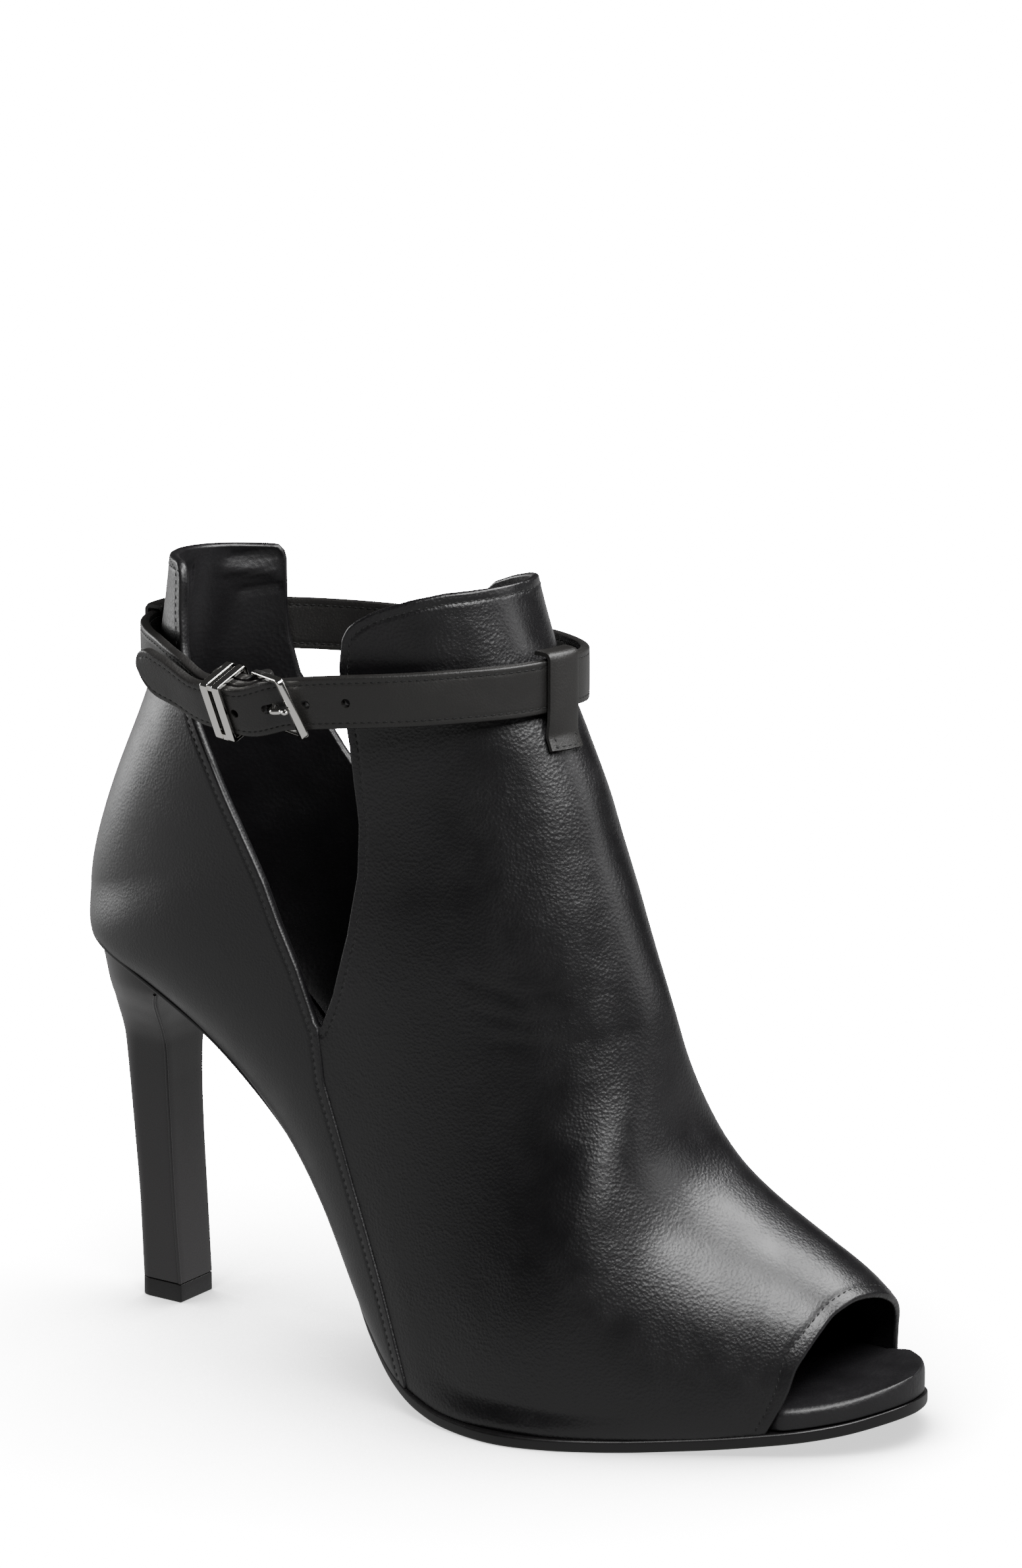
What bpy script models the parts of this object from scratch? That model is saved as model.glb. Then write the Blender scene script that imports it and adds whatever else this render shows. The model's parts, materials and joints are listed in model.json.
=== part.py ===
"""Peep toe ankle boot, right foot: the pieces that a maker puts together, at their real size, in metres.

The boot is modelled with X along the heel line from the back of the counter to the toe, Y towards the inner
side of the foot and Z up from the floor. An empty then moves it so that its origin is under its middle.
"""

import math

import bmesh
import bpy
import numpy as np
from mathutils import Matrix, Vector

MM = 0.001
GAP = 0.3 * MM

# Driving sizes
LENGTH = 226.0 * MM
BALL_WIDTH = 78.0 * MM
HEEL_HEIGHT = 95.0 * MM
INSTEP_HEIGHT = 106.0 * MM
SHAFT_HEIGHT = 196.0 * MM
TOE_SPRING = 7.0 * MM

# Walls and edges
UPPER_WALL = 2.0 * MM
SOLE_AT_SEAT = 1.7 * MM
SOLE_AT_TREAD = 3.0 * MM
SOLE_EDGE_RADIUS = 0.7 * MM
INSOLE_AT_SEAT = 3.0 * MM
INSOLE_AT_TOE = 5.6 * MM
INSOLE_INSET = 1.5 * UPPER_WALL + 0.7 * MM
INSOLE_WAIST_INSET = 3.7 * MM
INSOLE_TOE_INSET = 1.6 * MM
INSOLE_EDGE_RADIUS = 2.0 * MM

# Heel
LIFT_HEIGHT = 5.0 * MM
LIFT_EDGE = 0.3 * MM

# Strap
STRAP_WIDTH = 12.6 * MM
STRAP_THICKNESS = 2.3 * MM
STRAP_CLEARANCE = 0.7 * MM
STRAP_STANDOFF = 4.1 * MM
LAYER_GAP = 0.4 * MM
FOLD_CLEARANCE = 0.7 * MM
FOLD_LENGTH = 15.0 * MM
TAIL_LENGTH = 37.0 * MM
TAIL_LIFT = 3.2 * MM
TAIL_RISE = 1.5 * MM
HOLE_DIAMETER = 2.2 * MM
HOLE_PITCH = 10.0 * MM
HOLES_AHEAD = 2
HOLES_BEHIND = 1
BAR_TURN = 94.4

# Buckle, keeper and loops
BAR_THICKNESS = 1.8 * MM
FRONT_BAR_WIDTH = 2.3 * MM
RAIL_HEIGHT = 1.2 * MM
RAIL_CLEARANCE = 0.5 * MM
BUCKLE_REACH = 12.3 * MM
FRONT_BAR_ROOM = 1.05 * MM
PRONG_THICKNESS = 1.5 * MM
PRONG_HOLE = 5.0 * MM
PRONG_HOLE_LENGTH = 4.8 * MM
KEEPER_PLACE = 9.5 * MM
KEEPER_WALL = 1.1 * MM
KEEPER_BAR_WIDTH = 2.3 * MM
KEEPER_SLOT = 1.5 * MM
LOOP_THICKNESS = 1.3 * MM
FRONT_LOOP_WIDTH = 9.0 * MM
FRONT_LOOP_TURN = 7.0
FRONT_LOOP_TAB = 5.0 * MM
FRONT_LOOP_TURN_IN = 0.6 * MM
BACK_LOOP_WIDTH = 8.5 * MM
BACK_LOOP_TURN = 180.0
BACK_LOOP_TAB = 6.0 * MM
BACK_LOOP_TURN_IN = 5.0 * MM

# The last, a row for each section from the toe up to the collar. A section runs from its foot on the sole or
# on the back of the counter to its head on the toe box, the instep or the front of the shaft.
# foot_x, head_x: share of LENGTH. foot_rise, head_rise: 0 at the floor, 1 at the heel or instep height,
# 2 at the top of the shaft. outer, inner, ridge: share of BALL_WIDTH from the heel line.
# widest: share of the section's height. over: fullness above the widest place. Below it the section is as
# full as the sole's outline asks for.
SECTION_COLUMNS = ("foot_x", "foot_rise", "head_x", "head_rise", "outer", "inner", "ridge", "widest", "over")
SECTIONS = (
    (0.983, 0.010, 0.979, 0.270, 0.037, 0.329, 0.177, 0.35, 2.1),
    (0.941, 0.000, 0.921, 0.368, -0.110, 0.440, 0.171, 0.30, 2.1),
    (0.891, -0.010, 0.868, 0.438, -0.212, 0.472, 0.146, 0.26, 2.1),
    (0.832, -0.020, 0.816, 0.508, -0.315, 0.472, 0.116, 0.22, 2.1),
    (0.757, -0.030, 0.772, 0.598, -0.448, 0.457, 0.085, 0.19, 2.1),
    (0.681, -0.030, 0.7535, 0.692, -0.556, 0.424, 0.061, 0.17, 2.0),
    (0.597, -0.030, 0.746, 0.772, -0.567, 0.360, 0.043, 0.16, 1.95),
    (0.514, -0.010, 0.7385, 0.853, -0.505, 0.305, 0.030, 0.18, 1.9),
    (0.430, 0.160, 0.7295, 0.933, -0.445, 0.280, 0.018, 0.25, 1.9),
    (0.354, 0.420, 0.716, 1.016, -0.421, 0.287, 0.010, 0.33, 1.95),
    (0.270, 0.630, 0.6995, 1.122, -0.409, 0.311, 0.006, 0.41, 2.0),
    (0.170, 0.810, 0.683, 1.228, -0.396, 0.335, 0.003, 0.47, 2.05),
    (0.069, 0.900, 0.666, 1.333, -0.390, 0.354, 0.000, 0.50, 2.1),
    (0.013, 0.970, 0.651, 1.439, -0.384, 0.360, 0.000, 0.50, 2.1),
    (0.000, 1.094, 0.632, 1.545, -0.378, 0.360, 0.000, 0.50, 2.1),
    (0.015, 1.244, 0.610, 1.654, -0.378, 0.360, 0.000, 0.50, 2.1),
    (0.047, 1.423, 0.589, 1.751, -0.378, 0.360, 0.000, 0.50, 2.1),
    (0.089, 1.634, 0.572, 1.847, -0.378, 0.360, 0.000, 0.50, 2.1),
    (0.112, 1.836, 0.555, 1.963, -0.378, 0.360, 0.000, 0.50, 2.1),
    (0.125, 2.050, 0.542, 2.079, -0.378, 0.360, 0.000, 0.50, 2.1),
)
ANKLE_FULLNESS = 2.1
EDGE_SHOWN = 0.4 * MM

# Outline of the sole from the back round the outer side to the toe and back along the inner side.
# x: share of LENGTH. y: share of BALL_WIDTH from the heel line.
OUTLINE_COLUMNS = ("x", "y")
OUTLINE = (
    (0.000, 0.000), (0.015, -0.134), (0.048, -0.232), (0.103, -0.280), (0.170, -0.284), (0.245, -0.268),
    (0.321, -0.260), (0.388, -0.305), (0.455, -0.409), (0.530, -0.506), (0.602, -0.557), (0.652, -0.565),
    (0.706, -0.518), (0.769, -0.415), (0.828, -0.311), (0.883, -0.213), (0.933, -0.116), (0.971, -0.006),
    (0.994, 0.104), (1.000, 0.189), (0.994, 0.280), (0.973, 0.372), (0.937, 0.439), (0.883, 0.470),
    (0.811, 0.463), (0.740, 0.445), (0.665, 0.409), (0.581, 0.335), (0.505, 0.268), (0.434, 0.232),
    (0.350, 0.220), (0.266, 0.232), (0.182, 0.268), (0.111, 0.280), (0.057, 0.244), (0.017, 0.140),
)

# Underside of the sole along its length. heel: share of HEEL_HEIGHT. spring: share of TOE_SPRING.
# tread: 0 where the sole is as thin as at the seat, 1 where it is as thick as at the tread.
SOLE_COLUMNS = ("x", "heel", "spring", "tread")
SOLE = (
    (0.000, 1.007, 0.00, 0.0),
    (0.036, 0.987, 0.00, 0.0),
    (0.073, 0.957, 0.00, 0.0),
    (0.119, 0.915, 0.00, 0.0),
    (0.161, 0.865, 0.00, 0.0),
    (0.203, 0.805, 0.00, 0.0),
    (0.245, 0.725, 0.00, 0.0),
    (0.287, 0.630, 0.00, 0.0),
    (0.329, 0.520, 0.00, 0.0),
    (0.371, 0.395, 0.00, 0.0),
    (0.413, 0.260, 0.00, 0.2),
    (0.455, 0.140, 0.00, 0.5),
    (0.497, 0.060, 0.00, 0.8),
    (0.539, 0.020, 0.00, 1.0),
    (0.581, 0.003, 0.00, 1.0),
    (0.614, 0.000, 0.00, 1.0),
    (0.748, 0.000, 0.00, 1.0),
    (0.832, 0.000, 0.13, 1.0),
    (0.895, 0.000, 0.33, 1.0),
    (0.958, 0.000, 0.64, 1.0),
    (1.000, 0.000, 1.00, 1.0),
)

# Heel block, a row for each level. level: share of HEEL_HEIGHT. front, back: share of LENGTH.
# half: share of BALL_WIDTH. corner: share of the half width taken by the rounded rear corner.
HEEL_COLUMNS = ("level", "front", "back", "half", "corner")
HEEL = (
    (0.000, 0.1180, 0.0624, 0.081, 0.25),
    (0.250, 0.1113, 0.0585, 0.087, 0.28),
    (0.470, 0.1065, 0.0503, 0.088, 0.32),
    (0.620, 0.1045, 0.0440, 0.092, 0.38),
    (0.700, 0.1045, 0.0402, 0.100, 0.46),
    (0.745, 0.1075, 0.0378, 0.124, 0.54),
    (0.800, 0.1160, 0.0345, 0.176, 0.66),
    (0.850, 0.1265, 0.0302, 0.228, 0.78),
    (0.890, 0.1370, 0.0255, 0.258, 0.88),
    (1.060, 0.1500, 0.0030, 0.280, 0.96),
)

# Edges of the cut between vamp and back tab, seen from the side and from the V upwards.
# x: share of LENGTH. rise: 1 at the instep height, 2 at the top of the shaft.
EDGE_COLUMNS = ("x", "rise")
TAB_EDGE = (
    (0.3850, 0.836), (0.3590, 0.959), (0.3340, 1.063), (0.3140, 1.163), (0.2880, 1.268), (0.2650, 1.363),
    (0.2430, 1.458), (0.2155, 1.564), (0.1985, 1.669), (0.1895, 1.743), (0.1845, 1.828), (0.1824, 1.900),
)
TAB_EDGE_INNER = (
    (0.3850, 0.836), (0.3570, 0.959), (0.3270, 1.063), (0.3010, 1.163), (0.2680, 1.268), (0.2360, 1.363),
    (0.2090, 1.458), (0.1870, 1.564), (0.1800, 1.669), (0.1790, 1.743), (0.1800, 1.828), (0.1810, 1.900),
)
VAMP_EDGE = (
    (0.3900, 0.836), (0.4040, 0.911), (0.4200, 1.060), (0.4290, 1.226), (0.4280, 1.363), (0.4215, 1.470),
    (0.4170, 1.564), (0.4085, 1.680),
)
VAMP_TOP_OUTER = (
    (0.4056, 1.772), (0.4087, 1.850), (0.4150, 1.880), (0.4250, 1.902), (0.4395, 1.924), (0.4540, 1.940),
    (0.4800, 1.964), (0.5100, 1.984), (0.5400, 1.992), (0.5700, 2.000), (0.6200, 2.015),
)
VAMP_TOP_INNER = (
    (0.4060, 1.730), (0.4090, 1.800), (0.4210, 1.856), (0.4430, 1.903), (0.4760, 1.937), (0.5090, 1.965),
    (0.5400, 1.988), (0.5700, 2.000), (0.6200, 2.015),
)
V_TIP_RADIUS = 1.2 * MM

# Top of the back tab, as a share of SHAFT_HEIGHT, and the radius of its front corner on each side
TAB_TOP_OUTER = 0.985
TAB_TOP_BACK = 0.974
TAB_TOP_INNER = 0.966
TAB_CORNER_OUTER = 6.0 * MM
TAB_CORNER_INNER = 11.0 * MM

# Edge of the toe opening seen from above, from the outer to the inner side.
# x: share of LENGTH. y: share of BALL_WIDTH from the heel line.
OPENING_COLUMNS = ("x", "y")
OPENING = (
    (0.8800, -0.400), (0.8870, -0.270), (0.8930, -0.215), (0.9000, -0.190), (0.9070, -0.177), (0.9125, -0.167),
    (0.9165, -0.151), (0.9210, -0.129), (0.9260, -0.102), (0.9310, -0.067), (0.9350, -0.028), (0.9380, 0.014),
    (0.9420, 0.057), (0.9450, 0.100), (0.9490, 0.156), (0.9520, 0.213), (0.9530, 0.270), (0.9490, 0.330),
    (0.9410, 0.385), (0.9270, 0.440), (0.9050, 0.500),
)

# Height and lean of the strap's middle round the ankle. turn: 0 at the front, 90 on the outer side, 180 at the
# back. rise: share of SHAFT_HEIGHT. lean: degrees by which its top stands further out than its foot.
STRAP_COLUMNS = ("turn", "rise", "lean")
STRAP_RISE = (
    (0.0, 0.888, 0.0), (35.0, 0.881, 0.0), (55.0, 0.874, 2.0), (72.0, 0.867, 5.0), (86.0, 0.857, 12.0),
    (98.7, 0.8395, 20.0), (110.0, 0.840, 24.0), (122.0, 0.855, 19.0), (136.0, 0.862, 9.0), (150.0, 0.861, 2.0),
    (166.0, 0.859, 0.0), (180.0, 0.858, 0.0), (230.0, 0.859, 0.0), (270.0, 0.862, 0.0), (320.0, 0.874, 0.0),
    (360.0, 0.888, 0.0),
)

LEATHER = (0.012, 0.012, 0.014)
EDGE_BLACK = (0.010, 0.010, 0.010)
RUBBER = (0.015, 0.015, 0.015)
NICKEL = (0.78, 0.77, 0.74)


def column(rows, names, name):
    """One named column of a table, as an array."""
    return np.array([row[names.index(name)] for row in rows], float)


def smooth(knots, values, at):
    """Values of a smooth curve through the knots that never swings past them (monotone cubic)."""
    knots, values, at = np.asarray(knots, float), np.asarray(values, float), np.asarray(at, float)
    step = np.diff(knots)
    slope = np.diff(values) / step
    tangent = np.empty(len(knots))
    tangent[0], tangent[-1] = slope[0], slope[-1]
    for i in range(1, len(knots) - 1):
        before, after = slope[i - 1], slope[i]
        if before * after <= 0:
            tangent[i] = 0.0
            continue
        w_before, w_after = 2 * step[i] + step[i - 1], step[i] + 2 * step[i - 1]
        tangent[i] = (w_before + w_after) / (w_before / before + w_after / after)
    cell = np.clip(np.searchsorted(knots, at, side="right") - 1, 0, len(step) - 1)
    h = step[cell]
    t = np.clip((at - knots[cell]) / h, 0.0, 1.0)
    low, high = values[cell], values[cell + 1]
    return ((1 + 2 * t) * (1 - t) ** 2 * low + t * (1 - t) ** 2 * h * tangent[cell]
            + t * t * (3 - 2 * t) * high + t * t * (t - 1) * h * tangent[cell + 1])


def climb(rise, knee):
    """Height of a rise: 0 at the floor, 1 at the knee height, 2 at the top of the shaft."""
    rise = np.asarray(rise, float)
    return knee * np.minimum(rise, 1.0) + (SHAFT_HEIGHT - knee) * np.maximum(rise - 1.0, 0.0)


def closed_curve(points, count):
    """Evenly spaced points of a smooth closed curve through the given ones (centripetal Catmull-Rom)."""
    points = np.asarray(points, float)
    dense = []
    size = len(points)
    for i in range(size):
        p0, p1, p2, p3 = (points[(i + k) % size] for k in (-1, 0, 1, 2))
        t1 = math.sqrt(np.linalg.norm(p1 - p0))
        t2 = t1 + math.sqrt(np.linalg.norm(p2 - p1))
        t3 = t2 + math.sqrt(np.linalg.norm(p3 - p2))
        for t in np.linspace(t1, t2, 24, endpoint=False):
            a1 = p0 * (t1 - t) / t1 + p1 * t / t1
            a2 = p1 * (t2 - t) / (t2 - t1) + p2 * (t - t1) / (t2 - t1)
            a3 = p2 * (t3 - t) / (t3 - t2) + p3 * (t - t2) / (t3 - t2)
            b1 = a1 * (t2 - t) / t2 + a2 * t / t2
            b2 = a2 * (t3 - t) / (t3 - t1) + a3 * (t - t1) / (t3 - t1)
            dense.append(b1 * (t2 - t) / (t2 - t1) + b2 * (t - t1) / (t2 - t1))
    dense = np.array(dense + [dense[0]])
    along = np.concatenate([[0.0], np.cumsum(np.linalg.norm(np.diff(dense, axis=0), axis=1))])
    at = np.linspace(0.0, along[-1], count, endpoint=False)
    return np.stack([np.interp(at, along, dense[:, k]) for k in range(points.shape[1])], 1)


def sole_bottom(x):
    """Height of the underside of the sole at x."""
    share = np.asarray(x, float) / LENGTH
    knots = column(SOLE, SOLE_COLUMNS, "x")
    heel = smooth(knots, column(SOLE, SOLE_COLUMNS, "heel"), share)
    spring = smooth(knots, column(SOLE, SOLE_COLUMNS, "spring"), share)
    return HEEL_HEIGHT * heel + TOE_SPRING * spring


def sole_thickness(x):
    """Thickness of the sole at x."""
    share = np.asarray(x, float) / LENGTH
    tread = smooth(column(SOLE, SOLE_COLUMNS, "x"), column(SOLE, SOLE_COLUMNS, "tread"), share)
    return SOLE_AT_SEAT + (SOLE_AT_TREAD - SOLE_AT_SEAT) * tread


def feather(x):
    """Height of the top of the sole at x, where the upper and the insole sit on it."""
    return sole_bottom(x) + sole_thickness(x)


def natural(knots, values, at):
    """Values of a smooth curve through the knots with an even bend (natural cubic)."""
    knots, values, at = np.asarray(knots, float), np.asarray(values, float), np.asarray(at, float)
    h = np.diff(knots)
    size = len(knots)
    system, wanted = np.eye(size), np.zeros(size)
    for i in range(1, size - 1):
        system[i, i - 1:i + 2] = h[i - 1], 2 * (h[i - 1] + h[i]), h[i]
        wanted[i] = 6 * ((values[i + 1] - values[i]) / h[i] - (values[i] - values[i - 1]) / h[i - 1])
    bend = np.linalg.solve(system, wanted)
    cell = np.clip(np.searchsorted(knots, at, side="right") - 1, 0, size - 2)
    left, right, wide = at - knots[cell], knots[cell + 1] - at, h[cell]
    return (bend[cell] * right ** 3 / (6 * wide) + bend[cell + 1] * left ** 3 / (6 * wide)
            + (values[cell] / wide - bend[cell] * wide / 6) * right
            + (values[cell + 1] / wide - bend[cell + 1] * wide / 6) * left)


def sole_sides(inset, count):
    """Stations along the sole with the outer and the inner edge there: arrays x, outer y, inner y."""
    outline = closed_curve([(x * LENGTH, y * BALL_WIDTH) for x, y in OUTLINE], 480)
    along = np.roll(outline, -1, axis=0) - np.roll(outline, 1, axis=0)
    along /= np.linalg.norm(along, axis=1)[:, None]
    inwards = np.stack([-along[:, 1], along[:, 0]], 1)
    outline = outline + inwards * inset(outline[:, 0], outline[:, 1])[:, None]
    back, front = int(np.argmin(outline[:, 0])), int(np.argmax(outline[:, 0]))
    loop = np.roll(outline, -back, axis=0)
    turn = (front - back) % len(outline)
    outer, inner = loop[: turn + 1], np.vstack([loop[turn:], loop[:1]])[::-1]
    even = np.linspace(0.004, 0.996, count)
    ends = 0.5 - 0.5 * np.cos(math.pi * even)
    x = outer[0, 0] + (outer[-1, 0] - outer[0, 0]) * (0.6 * ends + 0.4 * even)
    return (x, np.interp(x, np.maximum.accumulate(outer[:, 0]), outer[:, 1]),
            np.interp(x, np.maximum.accumulate(inner[:, 0]), inner[:, 1]))


class Last:
    """The shape inside the boot: a fan of sections from the toe up to the collar."""

    def __init__(self):
        self.rows = np.arange(len(SECTIONS), dtype=float)
        self.table = {name: column(SECTIONS, SECTION_COLUMNS, name) for name in SECTION_COLUMNS}
        self.table["foot_x"] = self.table["foot_x"] * LENGTH
        self.table["head_x"] = self.table["head_x"] * LENGTH
        self.table["foot_z"] = climb(self.table["foot_rise"], HEEL_HEIGHT)
        self.table["head_z"] = climb(self.table["head_rise"], INSTEP_HEIGHT)
        for name in ("outer", "inner", "ridge"):
            self.table[name] = self.table[name] * BALL_WIDTH
        x, outer, inner = sole_sides(lambda x, y: EDGE_SHOWN + 0 * x, 80)
        self.table["under_outer"] = np.array([self.fullness(row, "outer", x, outer) for row in range(len(SECTIONS))])
        self.table["under_inner"] = np.array([self.fullness(row, "inner", x, inner) for row in range(len(SECTIONS))])

    def fullness(self, row, side, edge_x, edge_y):
        """How full a section is below its widest place, so that it meets the edge of the sole."""
        t = np.linspace(0.0, 1.0, 2001)
        x = self.table["foot_x"][row] + t * (self.table["head_x"][row] - self.table["foot_x"][row])
        z = self.table["foot_z"][row] + t * (self.table["head_z"][row] - self.table["foot_z"][row])
        above = z - feather(x)
        if above[0] > 0:
            return ANKLE_FULLNESS
        first = int(np.argmax(above > 0))
        ridge = self.table["ridge"][row]
        reach = self.table[side][row] - ridge
        share = float(np.clip((np.interp(x[first], edge_x, edge_y) - ridge) / reach, 0.05, 0.985))
        depth = float(np.clip(1 - t[first] / self.table["widest"][row], 0.05, 0.985))
        low, high = 1.2, 7.0
        for _ in range(40):
            middle = (low + high) / 2
            low, high = (middle, high) if share ** middle + depth ** middle > 1 else (low, middle)
        return (low + high) / 2

    def at(self, place, name):
        """A column at a place along the last, in whole and part rows."""
        curve = smooth if name in ("under_outer", "under_inner", "widest", "over") else natural
        return curve(self.rows, self.table[name], place)

    def back_line(self, place):
        """Point (x, z) of the foot of a section."""
        return self.at(place, "foot_x"), self.at(place, "foot_z")

    def front_line(self, place):
        """Point (x, z) of the head of a section."""
        return self.at(place, "head_x"), self.at(place, "head_z")

    def ring(self, place, turns):
        """Points once round a section, from its head over the inner side."""
        (foot_x, foot_z), (head_x, head_z) = self.back_line(place), self.front_line(place)
        widest, ridge = self.at(place, "widest"), self.at(place, "ridge")
        up, side = np.cos(turns), np.sin(turns)
        inner = side > 0
        under = np.where(inner, self.at(place, "under_inner"), self.at(place, "under_outer"))
        full = np.where(up > 0, self.at(place, "over"), under)
        reach = np.where(inner, self.at(place, "inner"), self.at(place, "outer")) - ridge
        rise = np.abs(up) ** (2 / full)
        height = widest + np.where(up > 0, (1 - widest) * rise, -widest * rise)
        y = ridge + reach * np.abs(side) ** (2 / full)
        return np.stack([foot_x + (head_x - foot_x) * height, y, foot_z + (head_z - foot_z) * height], -1)

    def shaft_x(self, line, z):
        """Where the front or the back line of the shaft stands at a height."""
        x, height = line(np.linspace(9.0, self.rows[-1], 400))
        return float(np.interp(z, height, x))


class Ring:
    """The oval that the strap's main layer runs on. Places on it are lengths from the buckle's rear bar, first
    towards the back of the ankle, then along the inner side and the front until the buckle is met again."""

    def __init__(self, last):
        front_low = self.rise(0.0) - STRAP_WIDTH / 2
        back_low = self.rise(math.pi) - STRAP_WIDTH / 2
        clear = STRAP_CLEARANCE + STRAP_THICKNESS / 2
        front = last.shaft_x(last.front_line, front_low) + clear
        back = last.shaft_x(last.back_line, back_low) - clear
        outer, inner = last.table["outer"][-1], last.table["inner"][-1]
        self.middle = np.array([(front + back) / 2, (outer + inner) / 2])
        self.long = (front - back) / 2
        self.wide = (inner - outer) / 2 + STRAP_STANDOFF + STRAP_THICKNESS / 2
        self.turns = np.linspace(0.0, 2 * math.pi, 1441)
        points = np.stack([self.long * np.cos(self.turns), -self.wide * np.sin(self.turns)], 1)
        self.arc = np.concatenate([[0.0], np.cumsum(np.linalg.norm(np.diff(points, axis=0), axis=1))])
        self.whole = float(self.arc[-1])
        self.start = float(np.interp(math.radians(BAR_TURN), self.turns, self.arc))

    def rise(self, turn):
        """Height of the strap's middle at a turn."""
        knots = np.radians(column(STRAP_RISE, STRAP_COLUMNS, "turn"))
        return SHAFT_HEIGHT * float(smooth(knots, column(STRAP_RISE, STRAP_COLUMNS, "rise"), turn))

    def turn(self, place):
        """Turn round the ankle at a place."""
        return float(np.interp((self.start + place) % self.whole, self.arc, self.turns))

    def facing(self, turn):
        """Level direction straight out of the oval at a turn."""
        normal = np.array([math.cos(turn) / self.long, -math.sin(turn) / self.wide, 0.0])
        return normal / np.linalg.norm(normal)

    def bend(self, turn):
        """Radius of the oval's bend at a turn."""
        reach = (self.long * math.sin(turn)) ** 2 + (self.wide * math.cos(turn)) ** 2
        return reach ** 1.5 / (self.long * self.wide)

    def lean(self, turn):
        """Angle by which the strap's top stands further out than its foot at a turn."""
        knots = column(STRAP_RISE, STRAP_COLUMNS, "turn")
        return math.radians(float(smooth(knots, column(STRAP_RISE, STRAP_COLUMNS, "lean"), math.degrees(turn))))

    def middle_at(self, place):
        """Point on the oval at a place."""
        turn = self.turn(place)
        x, y = self.middle + (self.long * math.cos(turn), -self.wide * math.sin(turn))
        return np.array([x, y, self.rise(turn)])

    def axes(self, place):
        """Directions at a place: along the strap, out of its face and up across it."""
        along = self.middle_at(place + 0.4 * MM) - self.middle_at(place - 0.4 * MM)
        along /= np.linalg.norm(along)
        turn = self.turn(place)
        level, lean = self.facing(turn), self.lean(turn)
        up = np.cross(along, level)
        out = math.cos(lean) * level - math.sin(lean) * up
        return along, out, np.cross(along, out)

    def spot(self, place, off=0.0):
        """Point at a place, moved out of the strap's face by off."""
        return self.middle_at(place) + off * self.axes(place)[1]


def material(name, colour, roughness, metallic=0.0):
    """A plain finish of one colour."""
    made = bpy.data.materials.new(name)
    made.use_nodes = True
    shader = made.node_tree.nodes["Principled BSDF"]
    shader.inputs["Base Color"].default_value = (*colour, 1.0)
    shader.inputs["Roughness"].default_value = roughness
    shader.inputs["Metallic"].default_value = metallic
    return made


def collection(name):
    """A new collection in the scene."""
    made = bpy.data.collections.new(name)
    bpy.context.scene.collection.children.link(made)
    return made


def welded(mesh):
    """Welds points that coincide and turns the faces outwards."""
    shape = bmesh.new()
    shape.from_mesh(mesh)
    bmesh.ops.remove_doubles(shape, verts=shape.verts, dist=1e-6)
    bmesh.ops.recalc_face_normals(shape, faces=shape.faces)
    shape.to_mesh(mesh)
    shape.free()
    return mesh


def mesh_object(name, points, faces, home):
    """An object from points and faces."""
    mesh = bpy.data.meshes.new(name)
    mesh.from_pydata([tuple(p) for p in points], [], faces)
    made = bpy.data.objects.new(name, welded(mesh))
    home.objects.link(made)
    return made


def finish(piece, finish_material, angle=35.0):
    """Gives a piece its material and smooth shading with sharp edges kept."""
    piece.data.materials.clear()
    piece.data.materials.append(finish_material)
    piece.data.shade_smooth()
    piece.data.set_sharp_from_angle(angle=math.radians(angle))
    return piece


def as_mesh(curve_object, home):
    """The mesh of a curve object, with its caps welded, in place of the curve."""
    graph = bpy.context.evaluated_depsgraph_get()
    mesh = welded(bpy.data.meshes.new_from_object(curve_object.evaluated_get(graph)))
    name, matrix = curve_object.name, curve_object.matrix_world.copy()
    bpy.data.objects.remove(curve_object)
    made = bpy.data.objects.new(name, mesh)
    made.matrix_world = matrix
    home.objects.link(made)
    return made


def flat_piece(name, outlines, thickness, matrix, home, edge=0.0):
    """A flat outline, with any holes, given a thickness about its own plane and placed by a matrix. A rounded
    edge grows the outline by its own size."""
    curve = bpy.data.curves.new(name, "CURVE")
    curve.dimensions = "2D"
    curve.fill_mode = "BOTH"
    curve.extrude = thickness / 2 - edge
    curve.bevel_depth = edge
    curve.bevel_resolution = 1
    for outline in outlines:
        spline = curve.splines.new("POLY")
        spline.points.add(len(outline) - 1)
        for point, spot in zip(spline.points, outline):
            point.co = (spot[0], spot[1], 0.0, 1.0)
        spline.use_cyclic_u = True
    made = bpy.data.objects.new(name, curve)
    home.objects.link(made)
    made.matrix_world = matrix
    bpy.context.view_layer.update()
    return as_mesh(made, home)


def wire_piece(name, path, thickness, home):
    """A round wire along a path."""
    curve = bpy.data.curves.new(name, "CURVE")
    curve.dimensions = "3D"
    curve.bevel_depth = thickness / 2
    curve.bevel_resolution = 2
    curve.use_fill_caps = True
    spline = curve.splines.new("POLY")
    spline.points.add(len(path) - 1)
    for point, spot in zip(spline.points, path):
        point.co = (*spot, 1.0)
    made = bpy.data.objects.new(name, curve)
    home.objects.link(made)
    bpy.context.view_layer.update()
    return as_mesh(made, home)


def axes_matrix(x_axis, y_axis, z_axis, origin):
    """A matrix whose own axes point along the given directions."""
    rows = np.stack([x_axis, y_axis, z_axis, origin], 1)
    return Matrix([list(map(float, row)) for row in rows] + [[0.0, 0.0, 0.0, 1.0]])


def side_view(y):
    """Turns a flat piece's own X and Y into the boot's X and Z, at a place across the boot."""
    return Matrix.Translation((0.0, y, 0.0)) @ Matrix.Rotation(math.radians(90.0), 4, "X")


def rectangle(half_wide, half_high, middle=(0.0, 0.0)):
    """Corners of an upright rectangle."""
    x, y = middle
    return [(x - half_wide, y - half_high), (x + half_wide, y - half_high),
            (x + half_wide, y + half_high), (x - half_wide, y + half_high)]


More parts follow.
